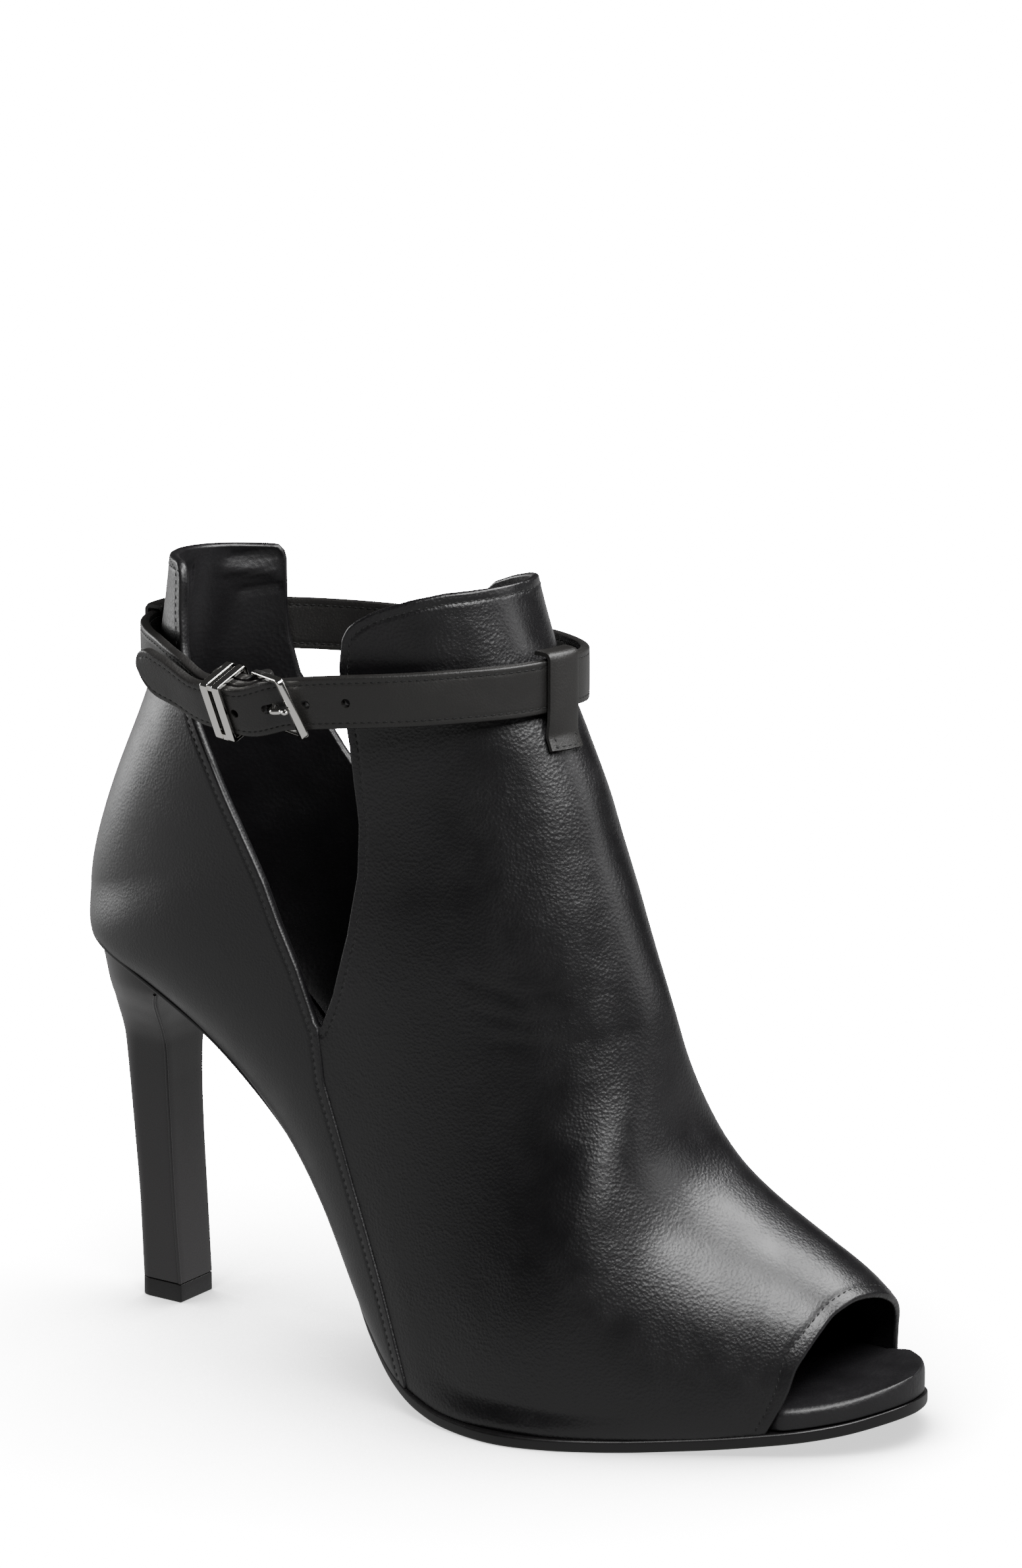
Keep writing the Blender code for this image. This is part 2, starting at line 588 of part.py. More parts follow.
def rounded(points, radii, steps=4):
    """An outline with its corners rounded off: radii is one size for all or one for each corner."""
    points = [np.asarray(p, float) for p in points]
    if not isinstance(radii, list):
        radii = [radii] * len(points)
    made = []
    for i, corner in enumerate(points):
        if radii[i] <= 0:
            made.append(tuple(corner))
            continue
        to_before, to_after = points[i - 1] - corner, points[(i + 1) % len(points)] - corner
        long_before, long_after = np.linalg.norm(to_before), np.linalg.norm(to_after)
        to_before, to_after = to_before / long_before, to_after / long_after
        half = math.acos(float(np.clip(np.dot(to_before, to_after), -1.0, 1.0))) / 2
        reach = min(radii[i] / math.tan(half), 0.49 * long_before, 0.49 * long_after)
        start, end = corner + to_before * reach, corner + to_after * reach
        for t in np.linspace(0.0, 1.0, steps + 1):
            made.append(tuple((1 - t) ** 2 * start + 2 * t * (1 - t) * corner + t * t * end))
    return made


def cut(piece, cutters):
    """Takes each cutter out of a piece."""
    for cutter in cutters:
        cutter.hide_render = True
        cutter.display_type = "WIRE"
        taken = piece.modifiers.new("cut " + cutter.name, "BOOLEAN")
        taken.operation = "DIFFERENCE"
        taken.solver = "EXACT"
        taken.object = cutter
    return piece


def loft(rings, closed=True):
    """Points and faces of a skin over rings of equal count, with flat ends when closed."""
    count, size = len(rings), len(rings[0])
    points = [tuple(p) for ring in rings for p in ring]
    faces = []
    for i in range(count - 1):
        for j in range(size):
            k = (j + 1) % size
            faces.append((i * size + j, i * size + k, (i + 1) * size + k, (i + 1) * size + j))
    if closed:
        faces.append(tuple(range(size)))
        faces.append(tuple((count - 1) * size + j for j in range(size)))
    return points, faces


def sole_layer(name, inset, low, high, edge_low, edge_high, home, count=56):
    """A layer with the sole's outline: low and high give its faces' heights, the edge sizes round it off."""
    rings = []
    for x, y0, y1 in zip(*sole_sides(inset, count)):
        bottom, top = float(low(x)), float(high(x))
        most = min(0.45 * (y1 - y0), 0.45 * (top - bottom))
        a, b = min(most, edge_low), min(most, edge_high)
        rings.append([
            (x, y0 + a, bottom), (x, y0, bottom + a),
            (x, y0, top - b), (x, y0 + 0.3 * b, top - 0.3 * b), (x, y0 + b, top),
            (x, y1 - b, top), (x, y1 - 0.3 * b, top - 0.3 * b), (x, y1, top - b),
            (x, y1, bottom + a), (x, y1 - a, bottom),
        ])
    return mesh_object(name, *loft(rings), home)


def make_outsole(home):
    """The thin sole: a sliver at the seat and the waist, thicker and round edged under the tread."""
    return sole_layer("outsole", lambda x, y: 0.0 * x, sole_bottom, feather,
                      SOLE_EDGE_RADIUS, SOLE_EDGE_RADIUS, home)


def opening_x(y):
    """Where the edge of the toe opening stands at a place across the boot."""
    xs = column(OPENING, OPENING_COLUMNS, "x") * LENGTH
    ys = column(OPENING, OPENING_COLUMNS, "y") * BALL_WIDTH
    return np.interp(y, ys, xs)


def insole_inset(x, y):
    """The insole stays inside the upper's wall, and runs out to the edge where the toe opening shows it."""
    out = np.clip((x - opening_x(y) - 0.5 * MM) / (3.5 * MM), 0.0, 1.0)
    waist = np.clip(1.0 - np.abs(x / LENGTH - 0.35) / 0.20, 0.0, 1.0)
    return INSOLE_INSET + INSOLE_WAIST_INSET * waist + (INSOLE_TOE_INSET - INSOLE_INSET) * out


def insole_top(x):
    """Height of the top of the insole at x: thin at the seat and thick where the toe opening shows it."""
    toe = np.clip((np.asarray(x, float) / LENGTH - 0.3) / 0.5, 0.0, 1.0)
    return feather(x) + GAP + INSOLE_AT_SEAT + (INSOLE_AT_TOE - INSOLE_AT_SEAT) * toe


def make_insole(home):
    """The covered insole, seen in the toe opening and through the cut-outs."""
    return sole_layer("insole", insole_inset, lambda x: feather(x) + GAP, insole_top,
                      0.5 * MM, INSOLE_EDGE_RADIUS, home)


def make_sole_cutter(home):
    """Everything below the top of the sole, with the gap that the upper keeps to it."""
    xs = np.linspace(-0.1, 1.1, 121) * LENGTH
    line = [(x, float(feather(min(max(x, 0.0), LENGTH))) + GAP) for x in xs]
    outline = line + [(xs[-1], -0.5 * HEEL_HEIGHT), (xs[0], -0.5 * HEEL_HEIGHT)]
    return flat_piece("below_the_upper", [outline], 3 * BALL_WIDTH, side_view(0.0), home)


def edge_line(rows):
    """Points (x, z) of one edge of the side cut-out."""
    return [(x * LENGTH, float(climb(rise, INSTEP_HEIGHT))) for x, rise in rows]


def make_side_cutter(name, low, high, top, corner, tab_edge, vamp_top, home):
    """The side cut-out with its V, the shaft's top and the back tab's front corner, from low to high in y."""
    tab, vamp = edge_line(tab_edge), edge_line(VAMP_EDGE + vamp_top)
    above = 1.3 * SHAFT_HEIGHT
    side_top, back_top = top * SHAFT_HEIGHT, max(top, TAB_TOP_BACK) * SHAFT_HEIGHT + MM
    outline = [(-0.2 * LENGTH, back_top), (0.125 * LENGTH, back_top), (tab[-1][0], side_top)]
    outline += tab[-2::-1] + vamp + [(1.2 * LENGTH, vamp[-1][1]), (1.2 * LENGTH, above), (-0.2 * LENGTH, above)]
    radii = [0.0, 0.0, corner] + [0.0] * (len(outline) - 3)
    tip = 2 + len(tab) - 1
    radii[tip] = radii[tip + 1] = V_TIP_RADIUS
    return flat_piece(name, [rounded(outline, radii)], high - low, side_view((low + high) / 2), home)


def make_tab_cutter(home):
    """Everything above the sloping top of the back tab."""
    fall = (TAB_TOP_INNER - TAB_TOP_OUTER) * SHAFT_HEIGHT / (2 * 0.28 * BALL_WIDTH)
    size = 0.42 * LENGTH
    block = flat_piece("above_the_tab", [rectangle(0.5 * size, 0.5 * size)], 0.5 * size,
                       Matrix.Identity(4), home)
    tilt = Matrix.Rotation(math.atan(fall), 4, "X")
    lift = Matrix.Translation((0.0, 0.0, 0.25 * size))
    block.matrix_world = Matrix.Translation((0.0, 0.0, TAB_TOP_BACK * SHAFT_HEIGHT)) @ tilt @ lift
    return block


def make_opening_cutter(home):
    """Everything in front of the toe opening's edge."""
    far = 1.3 * LENGTH
    dense = np.linspace(OPENING[0][1], OPENING[-1][1], 25)
    ys = column(OPENING, OPENING_COLUMNS, "y")
    edge = smooth(ys, column(OPENING, OPENING_COLUMNS, "x"), dense)
    outline = [(x * LENGTH, y * BALL_WIDTH) for x, y in zip(edge, dense)]
    outline += [(far, outline[-1][1]), (far, outline[0][1])]
    lift = Matrix.Translation((0.0, 0.0, 0.5 * INSTEP_HEIGHT))
    return flat_piece("toe_opening", [outline], 1.2 * INSTEP_HEIGHT, lift, home)


def make_upper(last, home, cutters):
    """The hollow upper: vamp, quarters and back tab in one wall, open at collar, sides, toe and underneath."""
    turns = np.linspace(0.0, 2 * math.pi, 32, endpoint=False)
    rings = [last.ring(place, turns) for place in np.linspace(0.0, last.rows[-1], 41)]
    made = mesh_object("upper", *loft(rings, closed=False), home)
    wall = made.modifiers.new("wall", "SOLIDIFY")
    wall.thickness = UPPER_WALL
    wall.offset = -1.0
    wall.use_even_offset = True
    far = 1.5 * BALL_WIDTH
    return cut(made, [
        make_sole_cutter(cutters),
        make_opening_cutter(cutters),
        make_tab_cutter(cutters),
        make_side_cutter("outer_cut_out", -far, 0.01 * MM, TAB_TOP_OUTER, TAB_CORNER_OUTER,
                         TAB_EDGE, VAMP_TOP_OUTER, cutters),
        make_side_cutter("inner_cut_out", -0.01 * MM, far, TAB_TOP_INNER, TAB_CORNER_INNER,
                         TAB_EDGE_INNER, VAMP_TOP_INNER, cutters),
    ])


def heel_ring(level):
    """Outline of the heel block at a level: a flat breast in front and rounded corners behind."""
    knots = column(HEEL, HEEL_COLUMNS, "level")
    front, back, half, corner = (
        float(smooth(knots, column(HEEL, HEEL_COLUMNS, name), level)) for name in HEEL_COLUMNS[1:])
    front, back, half = front * LENGTH, back * LENGTH, half * BALL_WIDTH
    corner_y = corner * half
    corner_x = min(1.6 * corner_y, 0.9 * (front - back))
    small = 0.06 * half
    z = level * HEEL_HEIGHT
    side = [(front, -half + small, z), (front - small, -half, z)]
    for turn in np.linspace(0.0, math.pi / 2, 7):
        side.append((back + corner_x * (1 - math.cos(turn)), -half + corner_y * (1 - math.sin(turn)), z))
    side[2:] = side[:1:-1]
    return side + [(x, -y, height) for x, y, height in reversed(side)]


def make_heel(home, cutters):
    """The tall slim heel block, flared into the seat and trimmed to the underside of the sole."""
    levels = np.concatenate([np.linspace(LIFT_HEIGHT / HEEL_HEIGHT, 0.62, 7), np.linspace(0.66, HEEL[-1][0], 12)])
    made = mesh_object("heel", *loft([heel_ring(level) for level in levels]), home)
    xs = np.linspace(-0.1, 0.4, 41) * LENGTH
    line = [(x, float(sole_bottom(max(x, 0.0))) - GAP) for x in xs]
    outline = line + [(xs[-1], 1.5 * HEEL_HEIGHT), (xs[0], 1.5 * HEEL_HEIGHT)]
    return cut(made, [flat_piece("above_the_heel", [outline], 2 * BALL_WIDTH, side_view(0.0), cutters)])


def make_top_lift(home):
    """The wearing piece under the heel, with the flat face that stands on the floor."""
    base = heel_ring(LIFT_HEIGHT / HEEL_HEIGHT)
    middle = sum(p[0] for p in base) / len(base)
    half = max(p[1] for p in base)
    rings = []
    for z, inset in ((0.0, LIFT_EDGE), (LIFT_EDGE, 0.0), (LIFT_HEIGHT - GAP, 0.0)):
        grow = 1 - inset / half
        rings.append([(middle + (x - middle) * grow, y * grow, z) for x, y, _ in base])
    return mesh_object("top_lift", *loft(rings), home)


def layer_step():
    """How far one layer of the strap stands out from the one under it."""
    return STRAP_THICKNESS + LAYER_GAP


def fold_radius():
    """Radius of the fold round the rear bar, to the middle of the leather."""
    return BAR_THICKNESS / 2 + FOLD_CLEARANCE + STRAP_THICKNESS / 2


def ribbon_ring(middle, out, up, half_width):
    """One section of the strap, with its edges eased."""
    t, w, ease = STRAP_THICKNESS / 2, half_width, 0.35 * MM
    corners = [(t - ease, -w), (t, -w + ease), (t, w - ease), (t - ease, w),
               (-t + ease, w), (-t, w - ease), (-t, -w + ease), (-t + ease, -w)]
    return [middle + out * a + up * b for a, b in corners]


def tail_share(ring, place):
    """How far along the free tail behind the keeper a place is, from 0 to 1."""
    start = ring.whole + KEEPER_PLACE + 4.0 * MM
    return max(place - start, 0.0) / (ring.whole + TAIL_LENGTH - start)


def outer_layer_off(ring, place):
    """How far the strap's free end stands out from the main layer as it meets the buckle and goes on."""
    start, met = ring.whole - 56.0 * MM, ring.whole - 16.0 * MM
    rise = float(np.clip((place - start) / (met - start), 0.0, 1.0))
    return layer_step() * rise * rise * (3 - 2 * rise) + TAIL_LIFT * tail_share(ring, place) ** 1.5


def strap_rings(ring):
    """Sections of the strap from the end sewn under its fold, round the rear bar and the ankle, to its tip."""
    half = STRAP_WIDTH / 2
    radius, step = fold_radius(), layer_step()
    rings = []
    for place in np.append(np.linspace(FOLD_LENGTH, 0.4 * FOLD_LENGTH, 4), np.linspace(0.33 * FOLD_LENGTH, 0.0, 6)):
        near = float(np.clip(1 - place / (0.36 * FOLD_LENGTH), 0.0, 1.0))
        off = -step - (2 * radius - step) * near * near * (3 - 2 * near)
        along, out, up = ring.axes(place)
        rings.append(ribbon_ring(ring.spot(place, off), -out, up, half))
    along, out, up = ring.axes(0.0)
    bar = ring.spot(0.0, -radius)
    for turn in np.radians(np.linspace(-72.0, 72.0, 7)):
        away = -math.cos(turn) * along + math.sin(turn) * out
        rings.append(ribbon_ring(bar + radius * away, away, up, half))
    whole = ring.whole + TAIL_LENGTH
    places = np.concatenate([np.linspace(0.0, ring.whole - 60 * MM, 52),
                             np.linspace(ring.whole - 57 * MM, whole - half, 36),
                             whole - half * (1 - np.sin(np.radians([18, 36, 52, 66, 78])))])
    for place in places:
        short = max(place - (whole - half), 0.0)
        along, out, up = ring.axes(place)
        spot = ring.spot(place, outer_layer_off(ring, place)) + TAIL_RISE * tail_share(ring, place) ** 1.4 * up
        rings.append(ribbon_ring(spot, out, up, max(math.sqrt(half * half - short * short), 1.0 * MM)))
    return rings


def hole_cutter(name, ring, place, length, home):
    """A round or long hole through the strap's outer layer at a place."""
    along, out, up = ring.axes(place)
    spot = ring.spot(place, outer_layer_off(ring, place))
    half = HOLE_DIAMETER / 2
    straight = max(length / 2 - half, 0.0)
    outline = []
    for turn in np.radians(np.arange(0, 360, 30) + 15.0):
        shift = math.copysign(straight, math.cos(turn))
        outline.append((shift + half * math.cos(turn), half * math.sin(turn)))
    matrix = axes_matrix(along, up, np.cross(along, up), spot)
    return flat_piece(name, [outline], STRAP_THICKNESS + LAYER_GAP, matrix, home)


def make_strap(ring, home, cutters):
    """The ankle strap in one piece: sewn fold, main layer, outer layer with its holes, and rounded tip."""
    made = mesh_object("strap", *loft(strap_rings(ring)), home)
    holes = [hole_cutter("prong_hole", ring, ring.whole - PRONG_HOLE, PRONG_HOLE_LENGTH, cutters)]
    for i in range(1, HOLES_AHEAD + 1):
        place = ring.whole - PRONG_HOLE - i * HOLE_PITCH
        holes.append(hole_cutter("hole_ahead_%d" % i, ring, place, 0.0, cutters))
    for i in range(1, HOLES_BEHIND + 1):
        place = ring.whole - PRONG_HOLE + i * HOLE_PITCH
        holes.append(hole_cutter("hole_behind_%d" % i, ring, place, 0.0, cutters))
    along, out, up = ring.axes(0.0)
    radius = fold_radius()
    slot = rectangle(0.5 * (fold_reach() + radius + 2.0 * MM), PRONG_THICKNESS / 2 + 0.45 * MM)
    middle = ring.spot(0.0, -radius) + along * 0.5 * (fold_reach() - radius - 2.0 * MM)
    depth = 2 * radius + STRAP_THICKNESS + 0.5 * LAYER_GAP
    matrix = axes_matrix(along, up, np.cross(along, up), middle)
    holes.append(flat_piece("prong_slot", [slot], depth, matrix, cutters))
    return cut(made, holes)


def fold_reach():
    """How far behind the rear bar the prong's hook and its slot reach."""
    return BAR_THICKNESS / 2 * 1.25 + GAP + PRONG_THICKNESS + GAP


def buckle_axes(ring):
    """The buckle's own directions, forwards from the rear bar, up and outwards, and the middle of that bar."""
    rear = ring.spot(0.0, -fold_radius())
    front = ring.spot(-BUCKLE_REACH, layer_step() + STRAP_THICKNESS / 2 + BAR_THICKNESS / 2 + FRONT_BAR_ROOM)
    forward = front - rear
    length = float(np.linalg.norm(forward))
    forward /= length
    up = ring.axes(0.0)[2]
    up = up - (up @ forward) * forward
    up /= np.linalg.norm(up)
    return forward, up, np.cross(forward, up), rear, length


def make_buckle_frame(ring, home):
    """The buckle's flat frame: rear bar inside the fold, front bar over the strap, a rail above and below."""
    forward, up, out, rear, length = buckle_axes(ring)
    edge = 0.4 * MM
    inner_high = STRAP_WIDTH / 2 + RAIL_CLEARANCE
    outer_high = inner_high + RAIL_HEIGHT
    back, front = -BAR_THICKNESS / 2, length + FRONT_BAR_WIDTH / 2
    outline = rectangle((front - back) / 2 - edge, outer_high - edge, ((front + back) / 2, 0.0))
    back, front = BAR_THICKNESS / 2, length - FRONT_BAR_WIDTH / 2
    window = rectangle((front - back) / 2 + edge, inner_high + edge, ((front + back) / 2, 0.0))
    matrix = axes_matrix(forward, up, out, rear)
    return flat_piece("buckle_frame", [rounded(outline, 1.8 * MM), rounded(window, 0.4 * MM, 1)],
                      BAR_THICKNESS, matrix, home, edge)


def make_buckle_prong(ring, home):
    """The prong: hooked round the rear bar, up through the strap's hole and resting on the front bar."""
    forward, up, out, rear, length = buckle_axes(ring)
    hook = BAR_THICKNESS / 2 * 1.25 + GAP + PRONG_THICKNESS / 2
    rest = BAR_THICKNESS / 2 + GAP + PRONG_THICKNESS / 2
    along, off, _ = ring.axes(0.0)
    off = np.cross(-along, up)
    off /= np.linalg.norm(off)
    path = [rear + hook * (math.sin(turn) * off - math.cos(turn) * along)
            for turn in np.radians(np.linspace(-50.0, -270.0, 12))]
    hole = ring.spot(-PRONG_HOLE, outer_layer_off(ring, ring.whole - PRONG_HOLE))
    thick = STRAP_THICKNESS / 2
    for ahead, high in ((-3.2, -2.0 * thick - 1.1 * MM), (-2.0, -1.9 * thick - 0.75 * MM),
                        (-1.0, -thick - 0.5 * MM), (0.0, 0.0), (1.0, thick + 0.5 * MM), (2.3, 2.0 * thick + 0.9 * MM)):
        path.append(hole - along * ahead * MM + off * high)
    front = rear + forward * length
    path += [front + out * rest - forward * 1.5 * MM, front + out * rest + forward * 0.6 * FRONT_BAR_WIDTH]
    return wire_piece("buckle_prong", path, PRONG_THICKNESS, home)


def make_keeper(ring, home, cutters):
    """The metal keeper behind the buckle: two flat bars side by side round all the strap's layers."""
    along, out, up = ring.axes(KEEPER_PLACE)
    length = 2 * KEEPER_BAR_WIDTH + KEEPER_SLOT
    half_in = layer_step() + STRAP_THICKNESS / 2 + GAP + 0.1 * MM
    high_in = STRAP_WIDTH / 2 + RAIL_CLEARANCE
    edge = 0.3 * MM
    outline = rectangle(half_in + KEEPER_WALL - edge, high_in + KEEPER_WALL - edge)
    window = rectangle(half_in + edge, high_in + edge)
    spot = ring.spot(KEEPER_PLACE)
    made = flat_piece("strap_keeper", [rounded(outline, 1.4 * MM, 3), rounded(window, 0.5 * MM, 1)], length,
                      axes_matrix(out, up, np.cross(out, up), spot), home, edge)
    face = spot + out * (half_in + KEEPER_WALL / 2)
    slot = flat_piece("keeper_slot", [rectangle(KEEPER_SLOT / 2, high_in - 0.6 * MM)], 2 * KEEPER_WALL,
                      axes_matrix(np.cross(out, up), up, -out, face), cutters)
    return cut(made, [slot])


def shaft_reach(last, z, spot, facing):
    """How far the shaft's outer face is from a spot, along a level direction that points out of it."""
    front, back = last.shaft_x(last.front_line, z), last.shaft_x(last.back_line, z)
    low, high = -0.5 * BALL_WIDTH, 0.5 * BALL_WIDTH
    for _ in range(40):
        middle = (low + high) / 2
        x, y = spot[0] + middle * facing[0], spot[1] + middle * facing[1]
        wide = last.table["inner"][-1] if y > 0 else -last.table["outer"][-1]
        along = abs(2 * x - front - back) / (front - back)
        outside = along ** ANKLE_FULLNESS + (abs(y) / wide) ** ANKLE_FULLNESS > 1
        low, high = (low, middle) if outside else (middle, high)
    return (low + high) / 2


def make_loop(name, last, ring, turn, width, tab, turn_in, home):
    """A leather loop that holds the strap: sewn to the shaft below it, over it, and turned in above it."""
    turn = math.radians(turn)
    facing = ring.facing(turn)
    level = np.array([-facing[1], facing[0], 0.0])
    spread = 0.55 * width / ring.wide
    rises = [ring.rise(abs(turn + k * spread)) for k in (-1, 0, 1)]
    low, top = min(rises) - STRAP_WIDTH / 2, max(rises) + STRAP_WIDTH / 2
    x, y = ring.middle + (ring.long * math.cos(turn), -ring.wide * math.sin(turn))
    face = np.array([x, y, 0.0]) + facing * STRAP_THICKNESS / 2
    half = LOOP_THICKNESS / 2
    near, out = half + 1.6 * GAP, half + 2.2 * GAP

    def on_leather(z):
        return shaft_reach(last, z, face, facing) + near

    over = top + 1.2 * GAP + half
    path = [(on_leather(low - 2.6 * MM - tab), low - 2.6 * MM - tab), (on_leather(low - 2.6 * MM), low - 2.6 * MM),
            (out, low - 0.2 * MM), (out, over), (on_leather(over + 0.4 * MM), over + 0.4 * MM),
            (on_leather(over + 0.4 * MM + turn_in), over + 0.4 * MM + turn_in)]
    points = np.array(rounded(path, [0.0, 1.5 * MM, 1.5 * MM, 1.2 * MM, 0.9 * MM, 0.0], 3))
    along = np.gradient(points, axis=0)
    along /= np.linalg.norm(along, axis=1)[:, None]
    rings = []
    sides = np.linspace(-width / 2, width / 2, 5)
    for (r, z), (tr, tz) in zip(points, along):
        off = float(np.clip((r - on_leather(z)) / (2.0 * MM), 0.0, 1.0))
        section = []
        for layer, order in ((half, sides), (-half, sides[::-1])):
            for side in order:
                shaft = shaft_reach(last, z, face, facing) - shaft_reach(last, z, face + level * side, facing)
                strap = side * side / (2 * ring.bend(turn))
                fall = (1 - off) * shaft + off * strap
                section.append(face + level * side + facing * (r + tz * layer - fall)
                               + np.array([0.0, 0.0, z - tr * layer]))
        rings.append(section)
    return mesh_object(name, *loft(rings), home)


def clear_scene():
    """Removes the startup objects."""
    for thing in list(bpy.data.objects):
        bpy.data.objects.remove(thing, do_unlink=True)


def stand(pieces, cutters, home):
    """Parents the boot to an empty that puts the origin under its middle, on the floor."""
    graph = bpy.context.evaluated_depsgraph_get()
    corners = [piece.matrix_world @ Vector(corner) for piece in pieces
               for corner in piece.evaluated_get(graph).bound_box]
    middle = [(min(c[k] for c in corners) + max(c[k] for c in corners)) / 2 for k in (0, 1)]
    boot = bpy.data.objects.new("boot", None)
    home.objects.link(boot)
    for thing in pieces + cutters:
        thing.parent = boot
    boot.location = (-middle[0], -middle[1], 0.0)


def main():
    """Builds the boot."""
    clear_scene()
    parts, cutters = collection("peep_toe_ankle_boot"), collection("cutters")
    last = Last()
    ring = Ring(last)
    leather = material("black calf leather", LEATHER, 0.42)
    nickel = material("polished nickel", NICKEL, 0.15, 1.0)
    finish(make_upper(last, parts, cutters), leather, 40.0)
    finish(make_outsole(parts), material("black sole edge", EDGE_BLACK, 0.45))
    finish(make_insole(parts), material("covered insole", LEATHER, 0.5))
    finish(make_heel(parts, cutters), material("leather covered heel", LEATHER, 0.38))
    finish(make_top_lift(parts), material("black rubber", RUBBER, 0.6))
    finish(make_strap(ring, parts, cutters), material("strap leather", LEATHER, 0.45))
    finish(make_buckle_frame(ring, parts), nickel)
    finish(make_buckle_prong(ring, parts), nickel)
    finish(make_keeper(ring, parts, cutters), nickel)
    finish(make_loop("front_loop", last, ring, FRONT_LOOP_TURN, FRONT_LOOP_WIDTH, FRONT_LOOP_TAB,
                     FRONT_LOOP_TURN_IN, parts), leather)
    finish(make_loop("back_loop", last, ring, BACK_LOOP_TURN, BACK_LOOP_WIDTH, BACK_LOOP_TAB,
                     BACK_LOOP_TURN_IN, parts), leather)
    bpy.context.view_layer.update()
    stand(list(parts.objects), list(cutters.objects), parts)


main()
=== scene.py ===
"""Looks of the peep toe ankle boot: leather, lining, stitches, covered heel, strap and polished fittings.

Every piece is built in the boot's own frame, X from the heel to the toe, Y to the inner side and Z up, and is
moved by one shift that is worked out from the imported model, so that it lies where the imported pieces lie.
"""

from __future__ import annotations

import json
import logging
import math
from dataclasses import dataclass
from enum import Enum
from typing import Callable, Sequence

import bmesh
import bpy
import numpy as np
from mathutils import Matrix, Vector

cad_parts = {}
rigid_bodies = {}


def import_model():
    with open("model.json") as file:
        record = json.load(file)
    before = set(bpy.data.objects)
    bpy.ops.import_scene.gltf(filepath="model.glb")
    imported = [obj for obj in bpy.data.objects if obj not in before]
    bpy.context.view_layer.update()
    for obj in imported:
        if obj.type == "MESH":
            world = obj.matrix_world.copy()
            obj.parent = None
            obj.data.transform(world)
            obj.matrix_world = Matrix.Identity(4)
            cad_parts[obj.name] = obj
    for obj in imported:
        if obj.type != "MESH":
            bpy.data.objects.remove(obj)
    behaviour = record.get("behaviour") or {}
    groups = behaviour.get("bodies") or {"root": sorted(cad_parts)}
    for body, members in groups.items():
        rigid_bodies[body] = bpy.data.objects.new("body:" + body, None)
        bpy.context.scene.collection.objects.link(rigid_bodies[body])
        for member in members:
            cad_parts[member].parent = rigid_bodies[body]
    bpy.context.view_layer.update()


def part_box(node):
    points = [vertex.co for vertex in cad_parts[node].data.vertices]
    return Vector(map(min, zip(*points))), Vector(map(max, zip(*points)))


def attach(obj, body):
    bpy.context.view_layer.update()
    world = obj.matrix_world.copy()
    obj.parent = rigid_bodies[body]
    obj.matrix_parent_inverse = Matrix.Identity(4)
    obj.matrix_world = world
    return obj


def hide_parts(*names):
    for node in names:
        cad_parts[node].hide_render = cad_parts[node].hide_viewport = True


LOG = logging.getLogger("boot")
MM = 0.001
GAP = 0.3 * MM

# Driving sizes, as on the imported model
LENGTH = 226.0 * MM
BALL_WIDTH = 78.0 * MM
HEEL_HEIGHT = 95.0 * MM
INSTEP_HEIGHT = 106.0 * MM
SHAFT_HEIGHT = 196.0 * MM
TOE_SPRING = 7.0 * MM
UPPER_WALL = 2.0 * MM
ANKLE_FULLNESS = 2.1
EDGE_SHOWN = 0.4 * MM

# The last, a row for each section from the toe up to the collar. foot_x, head_x: share of LENGTH. foot_rise,
# head_rise: 0 at the floor, 1 at the heel or instep height, 2 at the top of the shaft. outer, inner, ridge:
# share of BALL_WIDTH. widest: share of the section's height. over: fullness above the widest place.
SECTION_COLUMNS = ("foot_x", "foot_rise", "head_x", "head_rise", "outer", "inner", "ridge", "widest", "over")
SECTIONS = (
    (0.983, 0.010, 0.979, 0.270, 0.037, 0.329, 0.177, 0.35, 2.1),
    (0.941, 0.000, 0.921, 0.368, -0.110, 0.440, 0.171, 0.30, 2.1),
    (0.891, -0.010, 0.868, 0.438, -0.212, 0.472, 0.146, 0.26, 2.1),
    (0.832, -0.020, 0.816, 0.508, -0.315, 0.472, 0.116, 0.22, 2.1),
    (0.757, -0.030, 0.772, 0.598, -0.448, 0.457, 0.085, 0.19, 2.1),
    (0.681, -0.030, 0.7535, 0.692, -0.556, 0.424, 0.061, 0.17, 2.0),
    (0.597, -0.030, 0.746, 0.772, -0.567, 0.360, 0.043, 0.16, 1.95),
    (0.514, -0.010, 0.7385, 0.853, -0.505, 0.305, 0.030, 0.18, 1.9),
    (0.430, 0.160, 0.7295, 0.933, -0.445, 0.280, 0.018, 0.25, 1.9),
    (0.354, 0.420, 0.716, 1.016, -0.421, 0.287, 0.010, 0.33, 1.95),
    (0.270, 0.630, 0.6995, 1.122, -0.409, 0.311, 0.006, 0.41, 2.0),
    (0.170, 0.810, 0.683, 1.228, -0.396, 0.335, 0.003, 0.47, 2.05),
    (0.069, 0.900, 0.666, 1.333, -0.390, 0.354, 0.000, 0.50, 2.1),
    (0.013, 0.970, 0.651, 1.439, -0.384, 0.360, 0.000, 0.50, 2.1),
    (0.000, 1.094, 0.632, 1.545, -0.378, 0.360, 0.000, 0.50, 2.1),
    (0.015, 1.244, 0.610, 1.654, -0.378, 0.360, 0.000, 0.50, 2.1),
    (0.047, 1.423, 0.589, 1.751, -0.378, 0.360, 0.000, 0.50, 2.1),
    (0.089, 1.634, 0.572, 1.847, -0.378, 0.360, 0.000, 0.50, 2.1),
    (0.112, 1.836, 0.555, 1.963, -0.378, 0.360, 0.000, 0.50, 2.1),
    (0.125, 2.050, 0.542, 2.079, -0.378, 0.360, 0.000, 0.50, 2.1),
)

